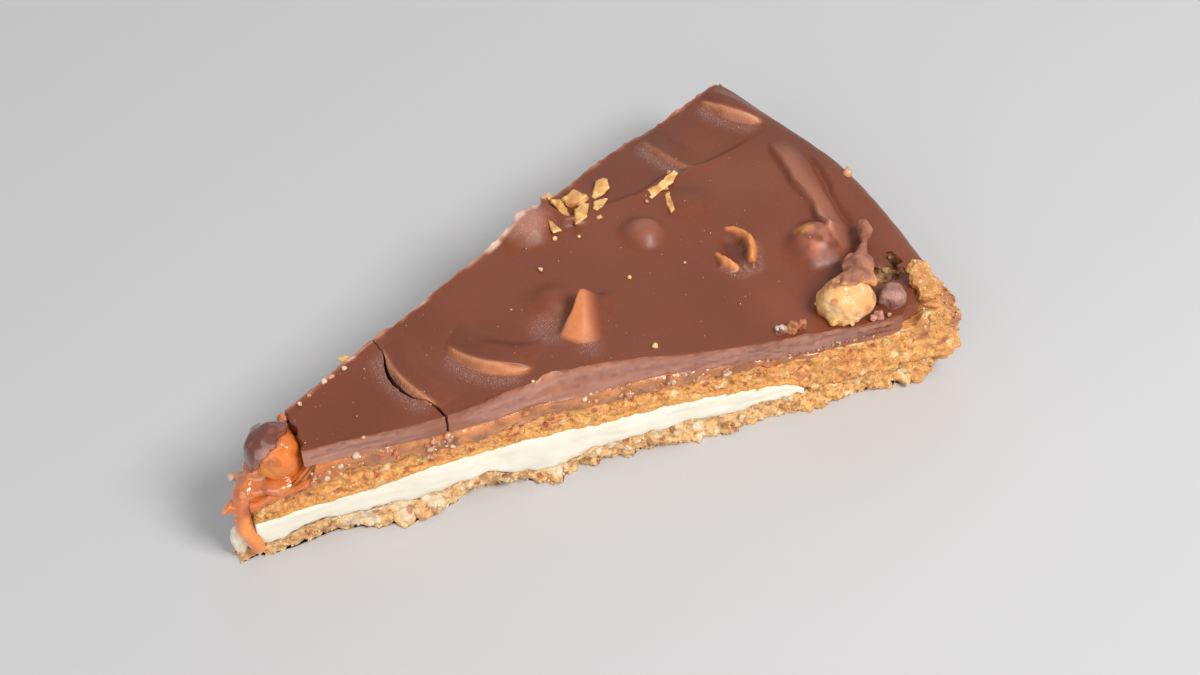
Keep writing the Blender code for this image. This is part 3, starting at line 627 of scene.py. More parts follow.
def shard_points(outline, thick, place, turn, tilt):
    """A broken piece: a flat body with worn edges, laid out from above, then tilted and turned."""
    outline = np.array(outline, float)
    sides = len(outline)
    middle = outline.mean(axis=0)
    points = [(*middle, -thick)]
    for height, size in ((-1.0, 0.72), (0.1, 1.0), (1.0, 0.78)):
        for a, b in middle + (outline - middle) * size:
            points.append((a, b, height * thick))
    points.append((*middle, thick * 1.15))
    top = len(points) - 1
    faces = []
    for i in range(sides):
        j = (i + 1) % sides
        faces.append((0, 1 + j, 1 + i))
        faces.append((1 + i, 1 + j, 1 + sides + j, 1 + sides + i))
        faces.append((1 + sides + i, 1 + sides + j, 1 + 2 * sides + j, 1 + 2 * sides + i))
        faces.append((1 + 2 * sides + i, 1 + 2 * sides + j, top))
    spin = Matrix.Rotation(math.radians(turn), 3, "Z") @ Matrix.Rotation(math.radians(tilt), 3, "X")
    return np.array(points) @ np.array(spin).T + place, faces


SHARD_SIDES = 7


def ragged(half, seed):
    """The outline of a broken piece, for shard_points."""
    draw = np.random.default_rng(seed)
    angle = (np.arange(SHARD_SIDES) + draw.uniform(-0.3, 0.3, SHARD_SIDES)) * 2 * math.pi / SHARD_SIDES
    reach = draw.uniform(0.72, 1.05, SHARD_SIDES)
    return np.stack([half[0] * reach * np.cos(angle), half[1] * reach * np.sin(angle)], -1)


def joined(name, parts):
    """Several (points, faces) as one object."""
    points = []
    faces = []
    for some, quads in parts:
        faces += [[i + len(points) for i in f] for f in quads]
        points += [tuple(p) for p in some]
    obj = add_mesh(name, points, faces)
    shape = bmesh.new()
    shape.from_mesh(obj.data)
    bmesh.ops.recalc_face_normals(shape, faces=shape.faces)
    shape.to_mesh(obj.data)
    shape.free()
    return obj


def roughen(obj, *waves):
    """Moves the surface in and out: each wave is (size, depth, salt)."""
    points = points_of(obj)
    out = sum(depth * clouds(points, size, salt) for size, depth, salt in waves)
    move_points(obj, points + out[:, None] * normals_of(obj))


def melted(name, parts, voxel, rounds, *waves):
    """Overlapping bodies melted into one uneven piece, and that piece's points."""
    obj = joined(name, parts)
    remesh(obj, voxel, rounds)
    roughen(obj, *waves)
    return obj, points_of(obj)


def grain_relief(points, size, salt, pits):
    """Grains that stand out by different heights; pits is the share with a pit in their place."""
    shift = np.stack([clouds(points, size, salt + k) for k in (5, 6, 7)], -1)
    far, pick = cells(points + 0.3 * size * shift, size, salt)
    cap = np.sqrt(np.clip(1 - (far / 0.85) ** 2, 0, 1))
    height = np.where(pick < pits, -0.7, 0.1 + 0.5 * pick)
    return size * cap * height


# Materials


def add_node(made, kind, wires, **values):
    """Adds a shader node, sets the inputs that are named and wires others to outputs."""
    node = made.node_tree.nodes.new("ShaderNode" + kind)
    for key, value in values.items():
        node.inputs[key.replace("_", " ")].default_value = value
    for key, source in wires.items():
        made.node_tree.links.new(source, node.inputs[key])
    return node


DUST_GRAIN = 0.16
PATCH_SIZE = 2.4  # colour patches against the size of the first wave


def food(name, roughness, waves, bump, coat=0.0, subsurface=0.0, vary=0.12, spread=0.15, specular=0.5,
         specks=(0.85, 0.66, 0.6)):
    """A material that reads each point's colour, with fine colour, gloss and bump on top.

    waves are (size in mm, share of the bump); vary and spread are how far colour and roughness differ.
    """
    made = bpy.data.materials.new(name)
    made.use_nodes = True
    link = made.node_tree.links.new
    shader = made.node_tree.nodes["Principled BSDF"]
    shader.inputs["Specular IOR Level"].default_value = specular
    shader.inputs["Coat Weight"].default_value = coat
    shader.inputs["Coat Roughness"].default_value = 0.08
    shader.inputs["Subsurface Weight"].default_value = subsurface
    shader.inputs["Subsurface Radius"].default_value = (1.0, 0.45, 0.2)
    shader.inputs["Subsurface Scale"].default_value = 0.0015
    where = {"Vector": add_node(made, "TexCoord", {}).outputs["Object"]}
    tint = add_node(made, "Attribute", {})
    tint.attribute_name = "tint"
    patches = add_node(made, "TexNoise", where, Scale=1 / (waves[0][0] * PATCH_SIZE * MM), Detail=4.0)
    patchy = {"Value": patches.outputs["Fac"]}
    shade = add_node(made, "MapRange", patchy, From_Min=0.3, From_Max=0.7, To_Min=1 - vary, To_Max=1 + vary)
    mixed = add_node(made, "VectorMath", {0: tint.outputs["Color"], 1: shade.outputs["Result"]})
    mixed.operation = "MULTIPLY"
    dust = add_node(made, "TexNoise", where, Scale=1 / (DUST_GRAIN * MM), Detail=2.0)
    grain = add_node(made, "MapRange", {"Value": dust.outputs["Fac"]}, From_Min=0.56, From_Max=0.66)
    share = add_node(made, "Math", {0: grain.outputs["Result"], 1: tint.outputs["Alpha"]})
    share.operation = "MULTIPLY"
    frosted = add_node(made, "MixRGB", {"Fac": share.outputs["Value"], "Color1": mixed.outputs["Vector"]},
                       Color2=(*specks, 1.0))
    link(frosted.outputs["Color"], shader.inputs["Base Color"])
    gloss = add_node(made, "MapRange", patchy, From_Min=0.3, From_Max=0.7,
                     To_Min=max(0.03, roughness - spread), To_Max=min(1.0, roughness + spread))
    link(gloss.outputs["Result"], shader.inputs["Roughness"])
    below = {}
    for size, strength in waves:
        texture = add_node(made, "TexNoise", where, Scale=1 / (size * MM), Detail=3.0)
        step = add_node(made, "Bump", {"Height": texture.outputs["Fac"], **below}, Strength=strength,
                        Distance=bump * MM)
        below = {"Normal": step.outputs["Normal"]}
    link(below["Normal"], shader.inputs["Normal"])
    return made


# The two crumb layers


def smear_line(r, t):
    """Where the cream runs down over the crumb below it, and the crumb pushes up."""
    flat = polar(r, t, 0 * r)
    return 0.95 * clouds(flat, 3.0, 43) + 0.45 * clouds(flat, 1.2, 44)


def cream_patch(points, below, r):
    """Where cream covers the crumb: near the seam, and far down by the tip."""
    reach = 2.4 + 2.2 * smooth((46 - r) / 8) * smooth((r - 14) / 6)
    share = smooth((clouds(points, 2.8, 45) - 0.08 + 0.2 * smooth((46 - r) / 8)) / 0.4)
    return share * smooth((reach - below) / 1.0) * smooth((101 - r) / 5)


def base_place(u, t, w):
    """The pale base, for layer()."""
    inside = 5.2 + 2.4 * smooth(w * 1.4)
    r = inside + (CAKE_RADIUS - inside) * u
    z = (base_seam(r, t) + smear_line(r, t) * (r < 104)) * w
    points = polar(r, t, z)
    low = smooth(1.0 - z / 4.2)
    rough = crumb_sides(points, 1.0, 1) * (0.5 + 0.8 * low) - 0.1
    lumps = grain_relief(points, 2.6, 100, 0.1) * 0.34
    grit = grain_relief(points, 1.1, 110, 0.15) * 0.36 + grain_relief(points, 0.5, 120, 0.2) * 0.5
    grit = grit + 0.1 * clouds(points, 0.3, 5) - 0.3
    creamy = cream_patch(points, base_seam(r, t) - z, r)
    rough = rough + (lumps + grit) * (1 - 0.75 * creamy)
    foot = curve(BASE_FOOT_OUT, r) * low
    back_foot = 0.9 * np.sin(r / 6.0) * low
    ragged_foot = smooth(1 - z / 1.6) * (0.5 * clouds(polar(r, t, 0 * r), 1.8, 6) - 0.3)
    side = rough + ragged_foot
    rim = side - 0.4 * smooth(1 - z / 2.0)
    points = push_sides(points, r, t, side + foot, side + back_foot, rim, CAKE_RADIUS)
    points[:, 2] = np.maximum(points[:, 2], 0.0)
    return points


def crumb_tint(points, tones, salt, flecks, pales):
    """Colours grain by grain, with painted shade in the gaps between grains; tones are light, body, dark,
    fleck and pale.
    """
    light, body, dark, fleck, pale = [srgb(*tone) for tone in tones]
    far, pick = cells(points, 1.5, salt)
    far2, pick2 = cells(points, 0.6, salt + 10)
    tone = 0.5 + 0.5 * clouds(points, 3.5, salt + 20) + 0.35 * clouds(points, 0.5, salt + 21)
    colour = blend(blend(dark, body, tone * 1.5), light, (pick2 - 0.6) * 1.6)
    colour = blend(colour, pale, (pick > 1 - pales) * smooth((0.7 - far) / 0.2) * 0.8)
    colour = blend(colour, fleck, (pick < flecks) * smooth((0.5 - far) / 0.25) * 0.85)
    colour = blend(colour, fleck, (pick2 < flecks) * smooth((0.55 - far2) / 0.2) * 0.75)
    # painted shade: every colour darkened toward the gaps between grains
    return colour * (1 - 0.15 * smooth((far - 0.6) / 0.4))[:, None]


def spot_tint(tints, points, places, tone, size):
    """Colours round spots on the cuts, given as (distance from the middle, height)."""
    radius, _ = across_slice(points)
    for r, z in places:
        near = np.hypot(radius - r, points[:, 2] - z) + 0.25 * size * clouds(points, 0.7, 48)
        tints = coats(tints, (tone, smooth((size - near) / (0.4 * size)) * 0.85))
    return tints


PALE_CRUMB = ((238, 202, 148), (222, 174, 116), (192, 136, 82), (146, 76, 44), (236, 216, 184))
GOLD_FOOT = ((236, 194, 128), (222, 162, 92), (196, 124, 60), (142, 68, 38), (232, 206, 160))
GOLD_CRUMB = ((234, 186, 114), (222, 154, 80), (196, 118, 52), (146, 64, 34), (234, 204, 150))
GOLDEN_FLECKS = ((51.5, 14.0), (67.6, 15.6), (64.7, 15.0), (71.0, 15.2), (35.5, 12.6), (33.3, 11.9),
                 (37.5, 12.5), (50.6, 15.4), (56.4, 14.5), (58.9, 12.5), (75.1, 15.1), (93.5, 12.8),
                 (109.8, 12.2), (113.8, 12.5), (22.0, 11.6), (28.4, 12.8), (44.0, 13.6), (84.0, 13.6),
                 (101.0, 11.4))
BASE_BROWN = ((70.4, 4.4), (78.4, 4.0), (55.3, 1.6), (27.5, 4.0), (33.0, 2.6), (47.0, 2.0), (88.0, 2.4),
              (96.0, 3.6))
BASE_WHITE = ((65.7, 3.9), (70.5, 2.6), (58.7, 1.8), (18.3, 3.2), (35.8, 3.6), (42.0, 3.4), (83.0, 3.2))
# Spots on the crumb of the broken corner: place, size, colour
CORNER_SPOTS = (((128.0, -31.0, 11.0), 1.3, (150, 78, 52)), ((123.0, -33.0, 9.0), 1.0, (160, 84, 50)),
                ((126.6, -33.0, 5.4), 1.4, (244, 226, 200)), ((119.0, -32.2, 11.4), 0.9, (150, 74, 44)))
crumb_finish = food("almond_crumb", 0.6, ((0.22, 0.9), (0.7, 0.5)), 0.14, subsurface=0.2, vary=0.14,
                    specks=(0.95, 0.8, 0.6))
base = layer("crumb_base", int(124 / FINE), int(68 / FINE), int(5.4 / FINE), base_place)
spots = points_of(base)
radius, t = across_slice(spots)
pale_tints = crumb_tint(spots, PALE_CRUMB, 200, 0.09, 0.12)
gold_tints = crumb_tint(spots, GOLD_FOOT, 200, 0.08, 0.08)
base_tints = blend(pale_tints, gold_tints, smooth((radius - 92) / 14))
creamy = cream_patch(spots, base_seam(radius, t) - spots[:, 2], radius)
base_tints = coats(base_tints, ((216, 196, 164), creamy * 0.75))
base_tints = spot_tint(base_tints, spots, BASE_BROWN, (170, 92, 54), 0.7)
base_tints = spot_tint(base_tints, spots, BASE_WHITE, (236, 222, 200), 0.8)
sticky = smooth((13 - radius) / 4) * smooth(clouds(spots, 1.4, 46) * 2)
base_tints = coats(base_tints, ((226, 120, 50), sticky * 0.6))
paint(base, base_tints, 0.35)
dress(base, crumb_finish, "almond_crumb_pale", "almond_base")


def covered(t):
    """1 where the chocolate still hides the rim, 0 at the bare corner."""
    return smooth((t - BARE_CORNER) / 0.05)


def ragged_seam(points):
    """Small rises and dips where the crumb soaks up the caramel."""
    return 0.55 * clouds(points, 2.2, 41) + 0.35 * clouds(points, 0.9, 42)


def crumb_top(r, t):
    """Height of the golden crumb's top, bare and rough past the break."""
    z = caramel_seam(r, t)
    wall = CAKE_RADIUS - RIM_WALL - 0.3 - SHOULDER_START
    over = np.clip((r - SHOULDER_START) / wall, 0, 1)
    round_off = SHOULDER_DROP * (1 - np.sqrt(np.clip(1 - over ** 2, 0.0, 1)))
    x, y, _ = polar(r, t, z).T
    bare = smooth((past_break(x, y) - 1.6) / 1.6)
    lift = np.zeros(len(r))
    open_top = bare > 0
    lift[open_top] = bare[open_top] * (1.3 + 1.5 * grains(polar(r, t, z)[open_top], 2.6, 25))
    lift = lift - 1.8 * (1 - covered(t)) * smooth((r - 125.5) / 4.0)
    soak = ragged_seam(polar(r, t, z)) * (1 - smooth((r - 96) / 6))
    return z - round_off * covered(t) + lift + soak


def crumb_place(u, t, w):
    """The golden crumb, for layer()."""
    inside = 8.6 + 0.8 * w
    outside = CAKE_RADIUS - (RIM_WALL + 0.3) * covered(t) * smooth((w - 0.02) / 0.10)
    r = inside + (outside - inside) * u
    z = cream_seam(r, t)
    z = z + (crumb_top(r, t) - z) * w
    points = polar(r, t, z)
    bare = smooth((past_break(points[:, 0], points[:, 1]) - 0.8) / 1.6)
    rough = crumb_sides(points, 0.65, 21)
    extra = grain_relief(points, 2.3, 125, 0.1) * 0.16 + grain_relief(points, 1.0, 130, 0.15) * 0.3
    extra = extra + grain_relief(points, 0.45, 140, 0.2) * 0.5 + 0.1 * clouds(points, 0.3, 7) - 0.15
    smear = smooth((1.5 - (z - cream_seam(r, t))) / 1.2) * smooth((103 - r) / 3)
    front = rough * (1 - 0.4 * smear) + extra * (1 - 0.75 * smear)
    points[:, 2] += bare * (w > 0.999) * 1.2 * extra
    hidden = covered(t) * smooth((z - 4.9) / 1.0)
    corner = (1 - covered(t)) * smooth((z - 4.0) / 3.0) * smooth((15.5 - z) / 2.0)
    return push_sides(points, r, t, front, front, front * 0.9 * (1 - hidden) + 0.9 * corner, outside)


golden = layer("crumb_golden", int(121 / FINE), int(68 / FINE), int(6.8 / FINE), crumb_place)
spots = points_of(golden)
radius, t = across_slice(spots)
golden_tints = crumb_tint(spots, GOLD_CRUMB, 230, 0.06, 0.07)
golden_tints = spot_tint(golden_tints, spots, GOLDEN_FLECKS, (156, 66, 36), 0.7)
moist = smooth((1.4 - (spots[:, 2] - cream_seam(radius, t))) / 1.0) * (radius < 101)
soaked = smooth((spots[:, 2] - caramel_seam(radius, t) + 1.6) / 1.5) * (radius < 100)
toasted = smooth((radius - 118) / 8) * smooth((spots[:, 2] - 8) / 6)
golden_tints = coats(golden_tints, ((226, 158, 66), 0.75 * moist), ((190, 116, 58), 0.5 * soaked),
                     ((164, 98, 68), 0.75 * toasted * smooth(clouds(spots, 2.4, 61) + 0.45)),
                     ((124, 56, 38), 0.8 * toasted * smooth(clouds(spots, 1.1, 167) * 2.4 - 0.9)))
for place, size, tone in CORNER_SPOTS:
    near = np.linalg.norm(spots - place, axis=1) / size
    golden_tints = coats(golden_tints, (tone, np.exp(-near ** 4) * 0.85))
paint(golden, golden_tints, 0.35)
dress(golden, crumb_finish, "almond_crumb_golden", "upper_crumb")
bare_top = smooth((past_break(spots[:, 0], spots[:, 1]) - 0.3) / 1.5) * smooth((spots[:, 2] - 13.5) / 1.5)


# The cream


def cream_place(u, t, w):
    """The cream, for layer()."""
    r = 8.4 + (CREAM_REACH - 8.8) * u
    low = base_seam(r, t) + smear_line(r, t)
    z = low + (cream_seam(r, t) - low) * w
    points = polar(r, t, z)
    soft = 0.3 * wander(points, 9.0, 11)
    edge = (2 * w - 1) ** 6
    streaks = 0.06 * drawn_out(points, 0.12, 0.5, 12) + 0.05 * clouds(points, 1.4, 13)
    out = soft + streaks - 0.35 * edge + 0.12
    return push_sides(points, r, t, out, out, 0 * r, CREAM_REACH)


cream = layer("cream_layer", int(96 / 0.35), int(30 / 0.5), 16, cream_place)
spots = points_of(cream)
radius, t = across_slice(spots)
far, pick = cells(spots, 0.9, 260)
edge = np.maximum(smooth((0.9 - (spots[:, 2] - base_seam(radius, t))) / 0.9),
                  smooth((0.5 - (cream_seam(radius, t) - spots[:, 2])) / 0.5))
crumbed = (pick > 0.6) * smooth((0.6 - far) / 0.3) * edge
tints = mottle(spots, (228, 221, 202), (236, 232, 218), 0.5, 3.0, 14)
paint(cream, coats(tints, ((226, 188, 130), crumbed * 0.8)))
cream_finish = food("set_cream", 0.42, ((0.8, 0.4), (0.3, 0.3)), 0.06, subsurface=0.25, vary=0.03,
                    spread=0.08)
dress(cream, cream_finish, "cream", "cream_filling")
smear = blob("cream_smear", ((5.9, 0.5, 3.4), (1.2, 1.6, 2.9), 0), 4, 0.1, 12)
roughen(smear, (1.1, 0.2, 15), (0.5, 0.08, 16))
paint(smear, blend(srgb(240, 232, 214), srgb(226, 196, 150), clouds(points_of(smear), 0.9, 17)))
dress(smear, cream_finish, "cream")


# The caramel


def caramel_place(u, t, w):
    """The caramel, for layer(), thinned to a glaze at the tip."""
    r = 8.2 + (CARAMEL_REACH - 8.2) * u
    low = caramel_seam(r, t)
    low = low + ragged_seam(polar(r, t, low)) * (1 - smooth((r - 96) / 6)) - 0.1
    glaze = smooth((GLAZE_ENDS + 1.6 - r) / 1.6)
    high = plate_seam(r, t) * (1 - glaze) + (caramel_seam(r, t) + GLAZE) * glaze
    z = low + (high + 0.1 - low) * w
    points = polar(r, t, z)
    middle = 1 - (2 * w - 1) ** 4
    sag = 0.35 + 0.35 * wander(points, 7.0, 31)
    sag = sag * (0.5 + 0.5 * middle) + 0.4 * clouds(points, 1.8, 32) + 0.2 * clouds(points, 0.7, 33)
    sag = sag - 0.45 * smooth((w - 0.75) / 0.25) - 0.4 * smooth((r - 82) / 8)
    points[:, 2] += glaze * (w > 0.5) * 0.35 * clouds(points, 1.6, 34)
    return push_sides(points, r, t, sag, sag, 0 * r, CARAMEL_REACH)


caramel_finish = food("caramel_gloss", 0.13, ((0.7, 0.6), (0.28, 0.4)), 0.25, coat=0.6, subsurface=0.4,
                      spread=0.07)
sauce = layer("caramel_layer", int(96 / 0.24), int(30 / 0.4), 14, caramel_place)
spots = points_of(sauce)
radius, _ = across_slice(spots)
bright = smooth(clouds(spots * (1, 1, 0.5), 2.2, 47) * 2.4 - 1.0)
tints = coats(mottle(spots, (152, 92, 54), (204, 134, 76), 0.8, 2.6, 35),
              ((204, 106, 40), smooth((28 - radius) / 12)), ((214, 124, 52), bright * 0.7),
              ((120, 66, 44), smooth(clouds(spots, 1.5, 36) * 2 - 0.6) * 0.35))
paint(sauce, tints)
dress(sauce, caramel_finish, "caramel", "caramel")

# The pool round the tip's peanut: middle and half sizes
POOL = (((10.8, 1.2, 13.9), (3.2, 2.6, 1.5)), ((13.4, -1.2, 14.5), (3.0, 2.1, 1.4)),
        ((12.2, 2.6, 15.4), (2.6, 2.4, 2.2)), ((16.6, 1.0, 16.6), (3.2, 3.4, 2.0)),
        ((17.9, 3.4, 18.2), (1.6, 2.2, 1.9)), ((8.4, -1.6, 2.2), (1.0, 0.8, 1.4)))
parts = [strand(DRIP), strand(SPIKE)]
for place, half in POOL:
    points, faces = ball(3)
    parts.append((stretched(points, place, half, CAMERA_TURN), faces))
drip, spots = melted("caramel_drip", parts, 0.22, 6, (1.6, 0.22, 37), (0.6, 0.08, 38))
move_points(drip, spots + (-0.3, -0.5, 0.4))
tints = mottle(spots, (206, 104, 36), (232, 148, 66), 0.9, 2.2, 39)
paint(drip, coats(tints, ((176, 84, 44), smooth((spots[:, 2] - 12.5) / 2) * 0.5)))
wet_finish = food("wet_caramel", 0.07, ((0.6, 0.3), (0.25, 0.2)), 0.06, coat=1.0, subsurface=0.5,
                  vary=0.08, spread=0.03, specular=0.7)
dress(drip, wet_finish, "caramel")


# The chocolate plate

# Along u, the plate runs flat, turns over the shoulder and goes down the rim as a skirt
FLAT_SHARE = 0.86
TURN_SHARE = 0.93


def plate_place(u, t, w):
    """The chocolate plate with its skirt, for layer()."""
    tip = 18.6 + 0.9 * t + 0.25 * np.sin(t * 9)
    flat = np.clip(u / FLAT_SHARE, 0, 1)
    turn = np.clip((u - FLAT_SHARE) / (TURN_SHARE - FLAT_SHARE), 0, 1) * math.pi / 2
    down = np.clip((u - TURN_SHARE) / (1 - TURN_SHARE), 0, 1)
    r = tip + (SHOULDER_START - tip) * flat
    reach = CAKE_RADIUS - SHOULDER_START
    outer_r = r + reach * np.sin(turn)
    inner_r = r + (reach - RIM_WALL) * np.sin(turn)
    foot = SKIRT_FOOT + 0.8 * np.sin(t * 7 + 1) + 0.5 * np.sin(t * 17)
    outer_z = plate_top(r, t) - SHOULDER_DROP * (1 - np.cos(turn))
    inner_z = plate_seam(r, t) - SHOULDER_DROP * (1 - np.cos(turn))
    outer_z = outer_z + (foot - outer_z) * down
    inner_z = inner_z + (foot + 0.4 - inner_z) * down
    outside = polar(outer_r, t, outer_z)
    inside = polar(inner_r, t, inner_z)
    fade = 1 - smooth((outer_r - SHOULDER_START) / reach)
    outside[:, 2] += relief(outside[:, 0], outside[:, 1]) * fade
    outside[:, 2] += 0.12 * clouds(outside * (1, 1, 0), 9.0, 50)
    rim_wave = smooth(turn * 2) * (0.25 * clouds(outside, 6.0, 51) + 0.08 * clouds(outside, 1.6, 52))
    points = inside + (outside - inside) * w[:, None]
    setback = -curve(PLATE_SETBACK, r) * w
    knife = drawn_out(points, 0.06, 0.45, 53) * 0.2 + drawn_out(points, 0.2, 0.3, 54) * 0.1
    chipped = -0.35 * np.clip(clouds(points, 2.1, 55) - 0.2, 0, 1) * w ** 3
    chipped = chipped + 0.16 * clouds(points, 0.8, 56) * w
    out = knife * (1 + 0.8 * smooth((r - 92) / 8)) + chipped + 0.08 * clouds(points, 0.5, 57)
    edge = np.minimum(r * np.sin((1 + t) * HALF_ANGLE), r * np.sin((1 - t) * HALF_ANGLE))
    burr = np.exp(-(edge / 0.4) ** 2) * (0.12 + 0.3 * clouds(outside, 1.1, 61))
    white_edge = np.exp(-(edge / 0.6) ** 2) * (t > 0) * smooth((r - 64) / 3) * smooth((82 - r) / 3)
    points[:, 2] += (burr + white_edge * (0.4 * clouds(outside, 0.8, 163) + 0.1)) * w * (down == 0)
    return push_sides(points, outer_r, t, setback + out, out, rim_wave, CAKE_RADIUS + 0 * r)


plate = layer("chocolate_plate", int(126 / 0.33), int(40 / 0.2), 8, plate_place, sheet=True)


# The crack from above: (place, half width)
CRACK = (((37.4, 12.0), 0.1), ((37.7, 8.8), 0.1), ((37.5, 6.5), 0.1), ((36.3, 3.2), 0.3),
         ((35.9, -0.4), 0.34), ((36.7, -3.6), 0.2), ((38.1, -6.1), 0.1), ((38.8, -8.4), 0.26),
         ((39.3, -12.5), 0.12))


def crack_blade():
    """A thin wavy wall that splits the plate from the front cut to behind its middle."""
    fine = np.linspace(0, len(CRACK) - 1, 81)
    x = through([place[0] for place, _ in CRACK], fine)
    y = through([place[1] for place, _ in CRACK], fine)
    half = np.clip(through([width for _, width in CRACK], fine), 0.04, 1)
    x = x + 0.12 * clouds(np.stack([x, y, 0 * x], -1), 0.9, 58)
    points = []
    for a, b, c in zip(x, y, half):
        points += [(a - c, b, 16.0), (a + c, b, 16.0), (a + c, b, 28.0), (a - c, b, 28.0)]
    return joined("crack_blade", [loft(points, 4)])


CORNER_EDGE = ((111.0, -34.0), (114.6, -30.9), (116.3, -29.6), (118.7, -29.9), (119.6, -27.4),
               (121.4, -26.6), (122.3, -24.4), (124.2, -24.0), (125.3, -21.7), (127.3, -21.6),
               (132.0, -19.5))


def corner_block():
    """The corner where the chocolate broke away, as a block with one ragged side."""
    line = []
    for (ax, ay), (bx, by) in zip(CORNER_EDGE[:-1], CORNER_EDGE[1:]):
        steps = max(2, int(math.hypot(bx - ax, by - ay) / 0.35))
        for k in range(steps):
            line.append((ax + (bx - ax) * k / steps, ay + (by - ay) * k / steps))
    line = np.array(line + [CORNER_EDGE[-1]])
    points = []
    for z in np.linspace(4.0, 24.0, 56):
        row = np.column_stack([line, np.full(len(line), z)])
        shift = 0.35 * clouds(row, 1.4, 59) + 0.14 * clouds(row, 0.6, 60)
        points += (row + shift[:, None] * (-0.6, 0.8, 0.0)).tolist()
        points.append((145.0, -45.0, z))
    return joined("corner_block", [loft(points, len(line) + 1)])


# Rough-sided holes where the chocolate broke off a nut: middle, half sizes, turn
HOLES = (((117.6, -21.4, 18.5), (2.8, 1.9, 1.9), CAMERA_TURN), ((121.4, -19.9, 18.0), (1.2, 1.8, 2.2), -10),
         ((119.8, -23.0, 18.3), (1.5, 1.2, 1.6), 20))
hollows = []
for n, hole in enumerate(HOLES):
    hollows.append(blob(f"hole_{n}", hole, 5, 0.22, 57 + n))
    roughen(hollows[-1], (1.2, 0.45, 97 + n), (0.5, 0.3, 98 + n))
cut(plate, crack_blade(), corner_block(), *hollows)
plate.data.set_sharp_from_angle(angle=math.radians(50))
spots = points_of(plate)
x, y, z = spots.T
radius, t = across_slice(spots)
tilt = 1 - np.abs(normals_of(plate)[:, 2])
to_front = radius * np.sin(np.clip((1 + t) * HALF_ANGLE, 0, 1)) - curve(PLATE_SETBACK, radius)
to_back = radius * np.sin(np.clip((1 - t) * HALF_ANGLE, 0, 1))
on_cut = np.maximum(smooth((0.35 - to_front) / 0.3), smooth((0.25 - to_back) / 0.25))
on_cut = on_cut * smooth((tilt - 0.25) / 0.3)
near_top = smooth((1.9 - (plate_top(radius, t) + relief(x, y) - z)) / 0.9)

# Its cuts, streaked by the knife, and its edges
streak = 0.5 + 0.4 * drawn_out(spots, 0.06, 0.4, 63) + 0.3 * drawn_out(spots, 0.08, 0.2, 164)
cut_tints = blend(srgb(142, 94, 80), srgb(180, 132, 114), streak * 0.8)
tints = blend(mottle(spots, (108, 53, 30), (124, 65, 41), 0.5, 9.0, 62), cut_tints, on_cut)
dark_streak = smooth(drawn_out(spots, 0.3, 0.35, 67) * 3 - 1.2)
drag = smooth(drawn_out(spots, 0.1, 0.3, 166) * 3 - 0.4) * smooth((radius - 88) / 8)
# lip: a ragged tan line along the top of the cuts, partly the crumbled edge and partly a painted highlight
lip = smooth((0.45 - np.minimum(to_front, to_back)) / 0.35) * (1 - on_cut) * (radius < 127)
back_lip = smooth((1.0 - to_back) / 0.9) * (radius < 124)
back_lip = back_lip * smooth(clouds(spots, 2.2, 68) * 1.6 + 0.2) * near_top
tints = coats(tints, ((120, 70, 56), on_cut * dark_streak * 0.5), ((112, 66, 52), on_cut * drag * 0.55),
              ((186, 120, 90), lip * (0.35 + 0.45 * smooth(clouds(spots, 1.4, 64) + 0.5))),
              ((206, 152, 120), back_lip * 0.55))

# The nuts under it, warm on their steep faces; the speck share holds pale bloom specks, and also sets a
# painted lavender sheen laid over them
TAN = (204, 124, 74)
FAINT = 0.04
specks_and_sheen = FAINT + 0.3 * back_lip
uneven = clouds(spots, 1.0, 65)
for place, face, half, width, _, _, bow, _, strength in LEDGES:
    out, along = ledge_place(x, y, place, face, half, bow)
    inside = smooth((1 - np.abs(along)) * 3)
    warm = smooth((out + 0.6) / 0.8) * smooth((width + 0.4 - out) / 0.8) * inside
    # crest: a pale line along each ledge's top edge, a painted highlight
    crest = np.exp(-((out - 0.1) / 0.25) ** 2) * inside
    tints = coats(tints, (TAN, warm * strength * (0.72 + 0.28 * along + 0.2 * uneven)),
                  ((222, 164, 124), crest * 0.5 * strength))
    specks_and_sheen = specks_and_sheen + 0.7 * inside * np.exp(-((out - width - 1.0) / 1.5) ** 2)
ahead, across, half = fin_place(x, y)
warm = smooth((ahead + 0.6) / 1.0) * smooth((9.4 - ahead) / 1.4)
warm = warm * smooth((half * 0.6 + 2.0 - across) / 3.4) * smooth((across + half + 0.7) / 0.5)
tints = coats(tints, (TAN, warm * 0.95), ((158, 100, 82), spot(x, y, (88.0, 6.0), 3.0) * 0.55))
specks_and_sheen = specks_and_sheen + 0.6 * spot(x, y, (62.4, -4.2), 3.2) + 0.7 * spot(x, y, (65.6, -10.9), 1.8, 2)
for line in LIPS:
    near, along, _ = distance_to_line(x, y, line)
    width = 0.35 + 0.55 * np.sin(np.pi * along ** 1.5)
    crest = np.exp(-(near / width) ** 4) * smooth(np.sin(np.pi * along) * 3)
    tints = coats(tints, ((222, 142, 80), crest * 0.95))
    specks_and_sheen = specks_and_sheen + 0.5 * np.exp(-((near - 1.3) / 0.6) ** 2) * (along > 0.5)
# painted shade in the hollow between the crater's two lips
shade_between_lips = np.exp(-(np.hypot((x - 99.6) / 2.0, (y + 4.4) / 2.8)) ** 4)
knob = spot(x, y, (112.6, -11.2), 3.9) * smooth(clouds(spots, 1.2, 66) + 0.5)
ragged_x = x + 0.9 * clouds(spots, 0.9, 165)
scuff = spot(x, y, (71.5, 18.2), 3.8)
specks_and_sheen = specks_and_sheen + 0.8 * scuff
